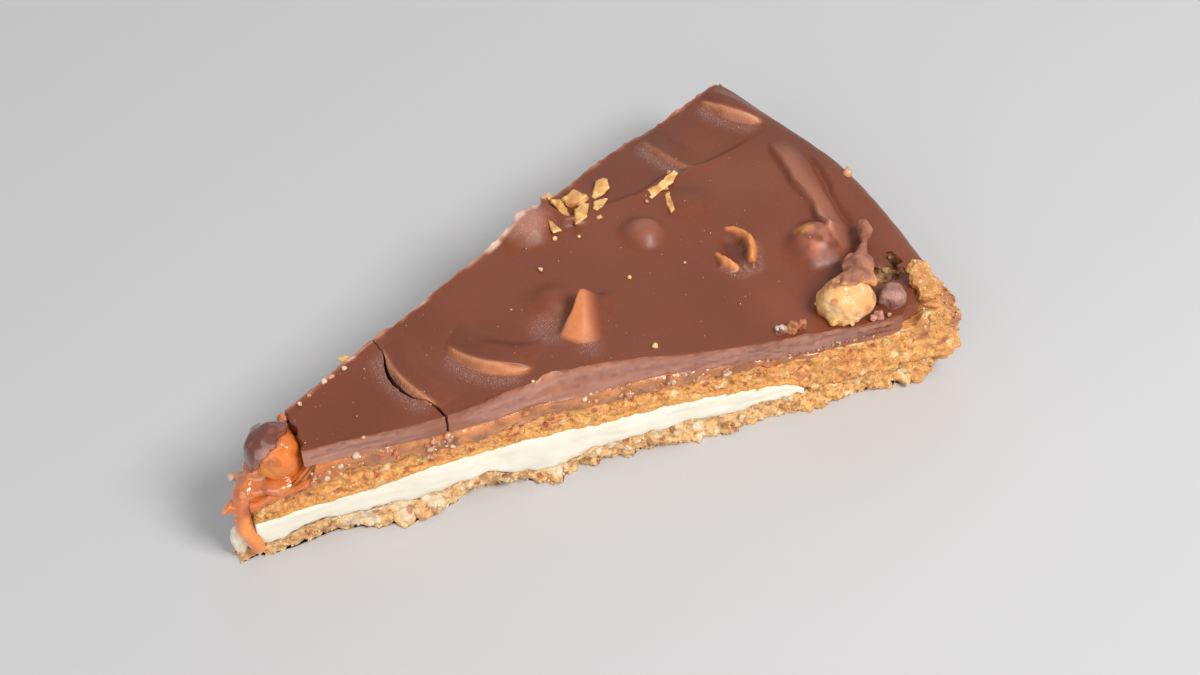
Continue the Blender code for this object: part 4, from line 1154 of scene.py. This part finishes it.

# The pale back edge, the fold's lower side in painted shade, the ridge, the hollows and the broken corner
white_edge = smooth((1.3 - to_back) / 0.8) * smooth((radius - 64) / 3) * smooth((82 - radius) / 3) * near_top
# painted shade on the fold's lower side
fold_shade = smooth((distance_to_line(x, y, FOLD)[2] - 0.3) / 1.5) * smooth((x - 84) / 3) * smooth((112 - x) / 8)
near, along, side = distance_to_line(x, y, RIDGE)
band = np.where(side > 0, np.exp(-(near / 3.0) ** 3), np.exp(-(near / 0.6) ** 2)) * smooth(along * 3)
tints = coats(tints, ((88, 44, 30), shade_between_lips * 0.75), ((172, 108, 90), knob * 0.75),
              ((204, 116, 76), spot(ragged_x, y, (110.2, -12.4), 1.1, 2) * 0.6),
              ((220, 146, 80), spot(ragged_x, y, (111.4, -7.9), 1.6) * 0.85),
              ((196, 132, 104), scuff * 0.6),
              ((226, 196, 178), white_edge * smooth(clouds(spots, 1.3, 71) * 2 + 0.7) * 0.8),
              ((98, 50, 34), fold_shade * 0.5 * (tilt < 0.4)), ((160, 102, 80), band * 0.7),
              ((190, 128, 100), np.exp(-(near / 0.45) ** 2) * smooth((along - 0.55) * 4) * 0.8))
cavity = np.zeros(len(spots))
for place, half, _ in HOLES:
    far = np.linalg.norm((spots - place) / (np.array(half) + 0.5), axis=1)
    cavity = np.maximum(cavity, np.exp(-far ** 6))
deep = cavity * smooth((18.3 - z) / 0.6)
tints = blend(tints, mottle(spots, (116, 76, 48), (190, 150, 104), 0.9, 0.8, 69), deep)
broken = smooth((past_break(x, y) + 1.8) / 0.8) * smooth((tilt - 0.3) / 0.3)
specks_and_sheen = np.clip(specks_and_sheen, 0, 1) * (1 - deep)
# painted sheen: a lavender reflection laid where the pale specks are
tints = coats(tints, ((146, 92, 74), broken * 0.7), ((146, 106, 100), (specks_and_sheen - FAINT) * 0.35))
paint(plate, tints, specks_and_sheen)
chocolate_finish = food("milk_chocolate_satin", 0.4, ((0.35, 0.2), (1.3, 0.12)), 0.05, subsurface=0.03,
                        vary=0.04, spread=0.07, specular=0.36, specks=(0.52, 0.36, 0.30))
dress(plate, chocolate_finish, "milk_chocolate", "chocolate")
low_cut = on_cut * smooth((radius - 84) / 6) * smooth((118 - radius) / 4) * smooth((16.2 - z) / 1.2)
dusty = (tilt < 0.3) * (to_front > 0.6) * (to_back > 0.6) * (radius < 122) * (0.08 + specks_and_sheen)


# Torn chocolate round the bare peanut, chips and crumbs


def sheet_points(outline, top, thick):
    """A thin torn sheet over a raised middle."""
    outline = np.array(outline)
    top = np.array(top)
    rings = []
    for k in (0, 0.25, 0.5, 0.75):
        rings.append(outline * (1 - k) + top * k + np.array((0, 0, 0.35 * math.sin(math.pi * k))))
    n = len(outline)
    over = np.concatenate(rings + [top[None]])
    points = np.concatenate([over + (0, 0, thick), over - (0, 0, thick)])
    count = len(over)
    faces = []
    for k in range(3):
        for a in range(n):
            b = (a + 1) % n
            faces.append((k * n + a, k * n + b, k * n + n + b, k * n + n + a))
            faces.append((count + k * n + b, count + k * n + a, count + k * n + n + a, count + k * n + n + b))
    for a in range(n):
        b = (a + 1) % n
        faces.append((3 * n + a, 3 * n + b, 4 * n))
        faces.append((count + 3 * n + b, count + 3 * n + a, count + 4 * n))
        faces.append((a, count + a, count + b, b))
    return points, faces


CURL = (((121.0, -12.0, 20.6), 0.7), ((120.4, -13.0, 21.0), 1.25), ((119.2, -14.7, 21.1), 1.15),
        ((117.9, -16.2, 21.1), 0.6), ((116.4, -17.4, 21.2), 0.9), ((115.0, -19.0, 21.6), 0.8))
parts = [strand(CURL), sheet_points(FLAP, FLAP_TOP, 0.42),
         shard_points(ragged((2.6, 2.0), 83), 1.9, (113.9, -18.4, 20.0), CAMERA_TURN, 20)]
curl, spots = melted("chocolate_curl", parts, 0.2, 1, (1.5, 0.3, 70), (0.6, 0.14, 71))
x, y, _ = spots.T
# painted light: the thin torn edge of the flap glows golden, as light shining through it
lit_torn_edge = distance_to_line(x, y, [p[:2] for p in FLAP[3:12]])[0]
lit_torn_edge = np.exp(-(lit_torn_edge / 0.7) ** 2) * smooth(clouds(spots, 1.1, 79) + 0.6)
tints = coats(mottle(spots, (134, 80, 60), (168, 108, 84), 0.8, 1.8, 72), ((216, 150, 88), lit_torn_edge * 0.8),
              ((222, 150, 80), spot(x, y, (114.2, -23.4), 1.2, 2) * 0.8))
paint(curl, tints, 0.3)
dress(curl, chocolate_finish, "milk_chocolate")

# Nut flakes that lie flat: place, half thickness, lean, and outline as seen (right, up) from the camera
FLAKES = (((87.6, 18.6, 22.4), 0.4, 8,
           ((-1.6, -1.4), (-1.0, 1.2), (0.26, 1.9), (1.25, 1.7), (1.5, 0.1), (0.44, -1.0), (-1.0, -1.8))),
          ((85.3, 15.5, 22.4), 0.35, -6,
           ((-1.2, 0.5), (0.5, 1.2), (1.4, 1.2), (0.5, -0.6), (-0.5, -1.2), (-1.1, -0.8))),
          ((75.1, 14.5, 23.7), 0.3, 10, ((-1.0, 1.2), (0.0, 0.8), (1.6, -0.7), (0.1, -1.2), (-0.6, -0.1))),
          ((78.2, 21.2, 23.2), 0.35, 0, ((-1.2, 0.0), (0.3, 0.9), (1.1, 0.4), (0.5, -0.5), (-0.8, -0.9))),
          ((96.6, 14.0, 22.0), 0.35, 5,
           ((-3.4, -2.0), (-2.1, -0.9), (-0.3, 0.0), (1.2, 1.5), (2.8, 2.7), (3.4, 2.2), (2.5, 0.5),
            (0.6, -0.9), (-1.4, -2.5), (-2.9, -2.5))),
          ((95.8, 9.7, 21.9), 0.35, -5,
           ((-0.8, 1.7), (0.1, 2.1), (0.5, 0.4), (0.9, -1.4), (0.3, -2.3), (-0.5, -0.7))),
          ((32.6, 9.4, 21.5), 0.3, 10,
           ((-2.0, 0.2), (-0.9, 0.7), (0.6, 0.2), (1.9, 0.5), (1.2, -0.4), (-0.8, -0.5))))
BROKEN = (((78.8, 17.8, 23.2), 0.55, 8,
           ((-1.9, 1.4), (-0.2, 1.4), (1.2, 0.0), (1.6, -1.5), (0.1, -1.5), (-1.4, 0.4))),
          ((81.0, 14.9, 23.0), 0.55, -8,
           ((-1.2, 0.9), (0.3, 2.4), (1.4, 2.1), (1.2, -0.5), (0.1, -1.8), (-0.9, -2.3), (-1.0, -0.9))),
          ((82.2, 18.4, 23.0), 0.75, 4,
           ((-2.5, -0.2), (-0.3, 1.6), (0.8, 1.3), (2.5, 0.2), (1.2, -0.7), (-0.3, -1.3), (-1.4, -1.3))))


def flakes_of(rows):
    """The flakes as bodies, a little sunk into what they lie on."""
    made = []
    for place, thick, lean, outline in rows:
        flat = [(a, b / FORESHORTEN) for a, b in outline]
        made.append(shard_points(flat, thick, np.array(place) - (0, 0, 0.2), CAMERA_TURN, lean))
    return made


nut_finish = food("roast_nut", 0.36, ((0.45, 0.5), (0.18, 0.3)), 0.1, coat=0.12, subsurface=0.2,
                  specks=(0.98, 0.86, 0.66))
chips, spots = melted("golden_chips", flakes_of(FLAKES), 0.1, 1, (1.0, 0.14, 73), (0.4, 0.06, 74))
paint(chips, mottle(spots, (196, 136, 66), (232, 188, 116), 0.9, 1.0, 75), 0.3)
dress(chips, nut_finish, "peanut")

parts = []
for n, (x, y, half) in enumerate(((95.0, -23.3, 1.1), (96.8, -23.7, 1.5), (98.7, -24.2, 1.2))):
    parts.append(shard_points(ragged((half, 0.8 * half), 90 + n), 0.9, (x, y, 19.4), 40 * n, 15))
group, spots = melted("edge_crumbs", parts, 0.14, 1, (0.7, 0.3, 76), (0.3, 0.1, 77))
tints = blend(srgb(176, 112, 74), srgb(220, 200, 186), smooth((96.0 - spots[:, 0]) / 1.2))
paint(group, coats(tints, ((132, 74, 50), smooth(clouds(spots, 0.8, 78) * 2))))
dress(group, crumb_finish, "almond_crumb_golden")


# Nuts, lump and brittle


def nut(name, shape, rough, seed, waves, shades, finish, slot, node):
    """A whole nut; shades are its light, middle and dark screen colours."""
    made = blob(name, shape, 6, rough, seed)
    roughen(made, *waves)
    spots = points_of(made)
    light, middle, dark = shades
    tints = mottle(spots, middle, light, 0.9, 3.2, seed + 100)
    paint(made, coats(tints, (dark, smooth(clouds(spots, 1.7, seed + 101) * 2.6 - 0.3) * 0.75)))
    dress(made, finish, slot, node)


coated = food("caramel_coat", 0.2, ((0.8, 0.5), (0.3, 0.3)), 0.14, coat=0.4, subsurface=0.3, vary=0.1,
              spread=0.08)
nut("tip_peanut", PEANUT_TIP, 0.05, 51, ((2.4, 0.3, 81), (0.9, 0.1, 82)),
    ((228, 144, 62), (214, 116, 46), (180, 90, 48)), coated, "peanut_in_caramel", "peanut_tip")
nut("side_peanut", PEANUT_SIDE, 0.1, 52, ((2.6, 0.45, 83), (1.1, 0.2, 84), (0.45, 0.06, 85)),
    ((234, 196, 142), (224, 168, 106), (186, 108, 56)), nut_finish, "peanut", "peanut_side")

parts = [shard_points(ragged((3.1, 2.5), 53), 2.3, (115.0, -27.2, 18.7), -20, 12)]
lump, spots = melted("matte_lump", parts, 0.25, 40, (1.9, 0.5, 86), (0.6, 0.12, 87))
paint(lump, mottle(spots, (126, 78, 64), (164, 116, 100), 0.8, 1.2, 88), 0.35)
matte_finish = food("scuffed_chocolate", 0.55, ((0.6, 0.4), (0.2, 0.3)), 0.08, vary=0.08)
dress(lump, matte_finish, "matte_chocolate", "chocolate_lump")

parts = [shard_points(BRITTLE, 0.9, (121.9, -27.4, 19.6), CAMERA_TURN, 56)]
chunk, spots = melted("brittle_piece", parts, 0.12, 1, (1.5, 0.3, 89), (0.6, 0.2, 90), (0.25, 0.08, 91))
tints = mottle(spots, (190, 128, 62), (216, 164, 96), 0.9, 1.6, 92)
paint(chunk, coats(tints, ((176, 106, 56), smooth(clouds(spots, 0.9, 93) * 2 - 0.6) * 0.5)), 0.2)
dress(chunk, nut_finish, "brittle", "brittle_chunk")

crushed, spots = melted("broken_peanut", flakes_of(BROKEN), 0.12, 1, (1.1, 0.2, 94), (0.4, 0.07, 95))
tints = mottle(spots, (202, 142, 72), (232, 188, 116), 0.9, 1.2, 96)
skin = np.maximum(spot(spots[:, 0], spots[:, 1], (82.8, 19.2), 1.7), smooth(clouds(spots, 1.6, 97) * 2))
paint(crushed, coats(tints, ((186, 120, 66), skin * 0.7)), 0.2)
dress(crushed, nut_finish, "peanut", "peanut_crushed")


def wavy_block(name, place, way, size, steps, depth, salt):
    """A block with one uneven face through the place, which fills the side that way points to."""
    turn = np.array(way.to_track_quat("Z", "Y").to_matrix())
    i, j = np.meshgrid(np.linspace(-size, size, steps), np.linspace(-size, size, steps), indexing="ij")
    near = np.stack([i.ravel(), j.ravel(), np.zeros(steps * steps)], -1)
    near[:, 2] = depth * clouds(near, 1.8, salt) + 0.4 * depth * clouds(near, 0.7, salt + 1)
    far = near.copy()
    far[:, 2] = size
    points = np.concatenate([near, far]) @ turn.T + np.array(place)
    index = np.arange(steps * steps).reshape(steps, steps)
    quads = grid_quads(index)
    loop = np.concatenate([index[:-1, 0], index[-1, :-1], index[:0:-1, -1], index[0, :0:-1]])
    faces = quads[:, ::-1].tolist() + (quads + steps * steps).tolist()
    faces += ring_faces(loop, loop + steps * steps).tolist()
    return joined(name, [(points, faces)])


# The shell is a bigger nut, set off to one side, less the nut itself and what two blocks take off
away = Vector((-0.40, 0.80, 0.44)).normalized()
middle, half, turn = PEANUT_TIP
across = Matrix.Rotation(math.radians(turn), 3, "Z") @ Vector((1, 0, 0))
shell = blob("shell_over_nut", (np.array(middle) + away * 0.9, np.array(half) + 0.9, turn), 5, 0.09, 56)
core = blob("nut_core", (middle, np.array(half) + 0.1, turn), 4, 0.05, 51)
cut(shell, core, wavy_block("shell_front", Vector(middle) + away * 1.3, -away, 14, 60, 0.6, 98),
    wavy_block("shell_end", Vector(middle) + across * 1.4, across, 14, 60, 0.4, 99))
roughen(shell, (2.2, 0.35, 101), (0.8, 0.1, 102))
spots = points_of(shell)
inward = smooth(0.5 - (normals_of(shell) @ np.array(away)) * 2)
tints = blend(srgb(104, 52, 38), srgb(150, 92, 74), inward * 0.8)
paint(shell, coats(tints, ((190, 120, 84), smooth(clouds(spots, 1.6, 103) * 2 - 0.8) * 0.5)))
dark_finish = food("glossy_chocolate", 0.16, ((0.9, 0.4), (0.3, 0.2)), 0.08, coat=0.9, vary=0.08,
                   spread=0.06)
dress(shell, dark_finish, "dark_shell", "tip_shell")


# Loose crumbs on the cuts, sugar at the broken corner and specks on the plate


def scatter(name, places, sizes, outs, seed, level=1):
    """Small uneven grains, one body each, sunk a little into what they sit on, and whose point each is."""
    draw = np.random.default_rng(seed)
    points, faces = ball(level)
    faces = np.array(faces)
    count = len(points)
    spin = draw.normal(size=(len(places), 4))
    spin = spin / np.linalg.norm(spin, axis=1, keepdims=True)
    made = []
    for place, size, out, turn in zip(places, sizes, outs, spin):
        uneven = draw.uniform(-0.3, 0.3, (count, 1))
        if level > 1:
            uneven = 0.3 * clouds(points + place * 3.7, 0.8, seed) + 0.1 * clouds(points, 0.3, seed)
            uneven = uneven[:, None]
        lump = points * (1 + uneven) * draw.uniform(0.65, 1.15, 3) * size
        turned = np.array(Quaternion(turn).to_matrix())
        made.append(lump @ turned.T + place + out * size * 0.35)
    all_points = np.concatenate(made)
    all_points[:, 2] = np.maximum(all_points[:, 2], 0.02)
    all_faces = (faces[None] + (np.arange(len(places)) * count)[:, None, None]).reshape(-1, 3)
    obj = add_mesh(name, all_points, all_faces.tolist())
    return obj, np.repeat(np.arange(len(places)), count)


def grain_tints(owner, palette, seed):
    """A colour for each grain, drawn from a palette of (screen colour, share)."""
    draw = np.random.default_rng(seed)
    kinds = draw.choice(len(palette), owner.max() + 1, p=[share for _, share in palette])
    tones = np.array([srgb(*tone) for tone, _ in palette])[kinds]
    return (tones * draw.uniform(0.85, 1.1, (len(kinds), 1)))[owner]


def loose_crumbs(name, under, under_tints, slot, seed, count, biggest):
    """Fine crumbs on the cut faces, coloured like the crumb that they lie on."""
    draw = np.random.default_rng(seed)
    on_sides = smooth((0.75 - np.abs(normals_of(under)[:, 2])) / 0.3)
    chosen = np.flatnonzero(draw.uniform(size=len(under_tints)) < on_sides)
    chosen = draw.choice(chosen, count, replace=False)
    sizes = draw.uniform(0.1, biggest, count)
    made, owner = scatter(name, points_of(under)[chosen], sizes, normals_of(under)[chosen], seed + 1)
    tones = under_tints[chosen] * draw.uniform(0.8, 1.25, (count, 1))
    paint(made, tones[owner], 0.3)
    dress(made, crumb_finish, slot)


def sprinkle(name, under, wanted, count, sizes, palette, seed, finish, slot):
    """Grains strewn over the part of a surface where wanted is high."""
    draw = np.random.default_rng(seed)
    chosen = np.flatnonzero(draw.uniform(size=len(wanted)) < wanted)
    chosen = draw.choice(chosen, min(count, len(chosen)), replace=False)
    sizes = np.random.default_rng(seed + 1).uniform(*sizes, len(chosen))
    made, owner = scatter(name, points_of(under)[chosen], sizes, normals_of(under)[chosen], seed + 2)
    paint(made, grain_tints(owner, palette, seed + 3))
    dress(made, finish, slot)


loose_crumbs("loose_base_crumbs", base, base_tints, "almond_crumb_pale", 301, 900, 0.36)
sprinkle("crumbs_on_cut", plate, low_cut * 0.5, 190, (0.1, 0.32),
         (((150, 100, 76), 0.5), ((190, 140, 98), 0.3), ((206, 170, 150), 0.2)), 351,
         crumb_finish, "almond_crumb_golden")
sprinkle("plate_dust", plate, dusty * 0.5, 170, (0.05, 0.15),
         (((176, 124, 104), 0.6), ((206, 166, 140), 0.4)), 361, crumb_finish, "milk_chocolate")
loose_crumbs("loose_golden_crumbs", golden, golden_tints, "almond_crumb_golden", 305, 1000, 0.3)
sugar_finish = food("sugar", 0.15, ((0.5, 0.3), (0.2, 0.2)), 0.08, coat=0.3, subsurface=0.3, vary=0.05,
                    spread=0.05)
sprinkle("sugar_crystals", golden, bare_top, 55, (0.12, 0.38),
         (((226, 200, 164), 0.4), ((214, 164, 98), 0.6)), 311, sugar_finish, "brittle")

# Beads of caramel on the front cut: distance from the cake's middle, and how many
BEADS = ((19.1, 9), (21.8, 8), (25.3, 7), (37.7, 8), (39.4, 9), (41.3, 9), (52.0, 4), (63.9, 6), (70.0, 7),
         (77.2, 10), (82.0, 5), (31.0, 4), (88.0, 4))
draw = np.random.default_rng(331)
spots = points_of(sauce)
facing = normals_of(sauce)
radius, _ = across_slice(spots)
front = (facing @ FRONT_OUT > 0.6) & (spots[:, 1] < 0)
places = []
outs = []
sizes = []
for r, count in BEADS:
    near = np.flatnonzero(front & (np.abs(radius - r) < 1.3))
    chosen = draw.choice(near, min(count, len(near)), replace=False)
    places += spots[chosen].tolist()
    outs += facing[chosen].tolist()
    sizes += [0.7] + draw.uniform(0.2, 0.5, len(chosen) - 1).tolist()
beads, owner = scatter("caramel_beads", np.array(places), sizes, np.array(outs) * 0.2, 332, 3)
palette = (((196, 140, 104), 0.5), ((216, 186, 160), 0.25), ((180, 106, 62), 0.25))
paint(beads, grain_tints(owner, palette, 333))
dress(beads, wet_finish, "caramel")

# Single bits that the photograph shows: place, half size, colour
BITS = (((17.9, 4.0, 21.6), 1.0, (196, 110, 62)), ((19.2, 2.6, 21.2), 0.8, (120, 66, 44)),
        ((8.4, 4.7, 13.0), 0.9, (222, 178, 160)), ((9.2, 4.0, 13.6), 0.6, (226, 170, 140)),
        ((30.9, 7.5, 22.0), 0.5, (222, 196, 184)), ((26.9, 6.9, 22.0), 0.5, (218, 180, 160)),
        ((28.4, 7.2, 21.9), 0.5, (204, 150, 128)), ((21.6, 5.0, 22.0), 0.5, (214, 168, 144)),
        ((23.6, 5.7, 22.0), 0.4, (198, 140, 112)), ((103.6, -26.2, 18.8), 0.7, (226, 168, 90)),
        ((104.9, -27.0, 18.7), 0.6, (216, 150, 80)), ((106.2, -27.9, 18.6), 0.5, (226, 176, 110)),
        ((109.9, -28.9, 18.6), 0.7, (196, 134, 112)), ((111.0, -29.0, 18.6), 0.8, (178, 122, 104)),
        ((112.6, -29.6, 18.5), 0.5, (170, 116, 100)), ((95.3, -23.0, 19.9), 0.6, (206, 192, 184)),
        ((94.6, -22.7, 19.8), 0.45, (200, 186, 178)))
places, sizes, tones = zip(*BITS)
upward = np.tile((0.0, 0.0, 1.0), (len(BITS), 1))
bits, owner = scatter("chocolate_bits", np.array(places), sizes, upward, 341, 4)
paint(bits, np.array([srgb(*tone) for tone in tones])[owner], 0.2)
dress(bits, nut_finish, "caramel")

# Pale specks on the plate, and one on the rim: place from above and half size
SPECKS = ((68.4, 8.0, 0.55), (79.8, -1.4, 0.45), (74.6, -16.4, 0.6), (53.9, -12.3, 0.4), (59.5, 3.0, 0.25),
          (90.0, -3.0, 0.25), (74.2, 12.6, 0.5), (78.0, 11.0, 0.35), (92.6, 11.9, 0.5), (97.4, 13.0, 0.6),
          (100.6, 16.6, 0.6), (83.4, 12.9, 0.5), (127.6, 0.4, 1.1), (26.5, -6.6, 0.4), (104.0, -21.0, 0.35))
ON_RIM = 18.6
x, y, sizes = np.array(SPECKS).T
radius, t = across_slice(np.stack([x, y], -1))
z = np.where(radius < SHOULDER_START, plate_top(radius, t) + relief(x, y), ON_RIM)
upward = np.tile((0.0, 0.0, 1.0), (len(SPECKS), 1))
specks, owner = scatter("plate_specks", np.stack([x, y, z], -1), sizes, upward, 321)
paint(specks, grain_tints(owner, (((232, 190, 134), 0.5), ((214, 160, 120), 0.5)), 322))
dress(specks, nut_finish, "peanut")


# Floor, light and camera


def in_metres(place):
    """A place of the slice in Blender's units and frame."""
    return Vector(((place[0] - MIDDLE_X) * MM, place[1] * MM, place[2] * MM))


FLOOR_HALF = 4
FLOOR_GAP = 0.00005
corners = [(a * FLOOR_HALF, b * FLOOR_HALF, 0) for a, b in ((-1, -1), (1, -1), (1, 1), (-1, 1))]
floor_mesh = bpy.data.meshes.new("floor")
floor_mesh.from_pydata(corners, [], [(0, 1, 2, 3)])
floor = in_scene("floor", floor_mesh)
floor.location.z = -FLOOR_GAP
floor_finish = bpy.data.materials.new("pale_floor")
floor_finish.use_nodes = True
floor_shader = floor_finish.node_tree.nodes["Principled BSDF"]
floor_shader.inputs["Base Color"].default_value = (0.52, 0.52, 0.53, 1)
floor_shader.inputs["Roughness"].default_value = 0.7
floor_mesh.materials.append(floor_finish)

# The camera's right and the way toward it, along the floor
RIGHT = Vector((0.830, -0.558, 0.0))
TOWARD = Vector((-0.558, -0.830, 0.0))


def lamp(name, right, toward, up, size, power, tone):
    """A soft square light that shines on the slice, placed as the photograph's viewer sees it."""
    data = bpy.data.lights.new(name, "AREA")
    data.size = size
    data.energy = power
    data.color = tone
    made = in_scene(name, data)
    made.location = RIGHT * right + TOWARD * toward + Vector((0, 0, up))
    aim = Vector((0, 0, 0.01)) - made.location
    made.rotation_euler = aim.to_track_quat("-Z", "Y").to_euler()


lamp("key", 0.42, 0.25, 0.60, 0.30, 5.2, (1.0, 0.97, 0.93))
lamp("front", -0.25, 0.75, 0.40, 0.8, 2.8, (1.0, 0.99, 0.97))
lamp("window", 0.1, -0.8, 0.75, 0.7, 0.8, (0.95, 0.97, 1.0))
world = bpy.data.worlds.new("studio")
world.use_nodes = True
world.node_tree.nodes["Background"].inputs["Color"].default_value = (0.95, 0.97, 1.0, 1)
world.node_tree.nodes["Background"].inputs["Strength"].default_value = 0.48
bpy.context.scene.world = world
bpy.context.scene.view_settings.view_transform = "Standard"

camera_data = bpy.data.cameras.new("camera")
camera_data.lens = LENS
camera_data.sensor_width = SENSOR
camera_data.clip_start = 0.01
camera = in_scene("camera", camera_data)
camera.location = in_metres(CAMERA)
camera.rotation_euler = (in_metres(AIM) - in_metres(CAMERA)).to_track_quat("-Z", "Y").to_euler()
bpy.context.scene.camera = camera
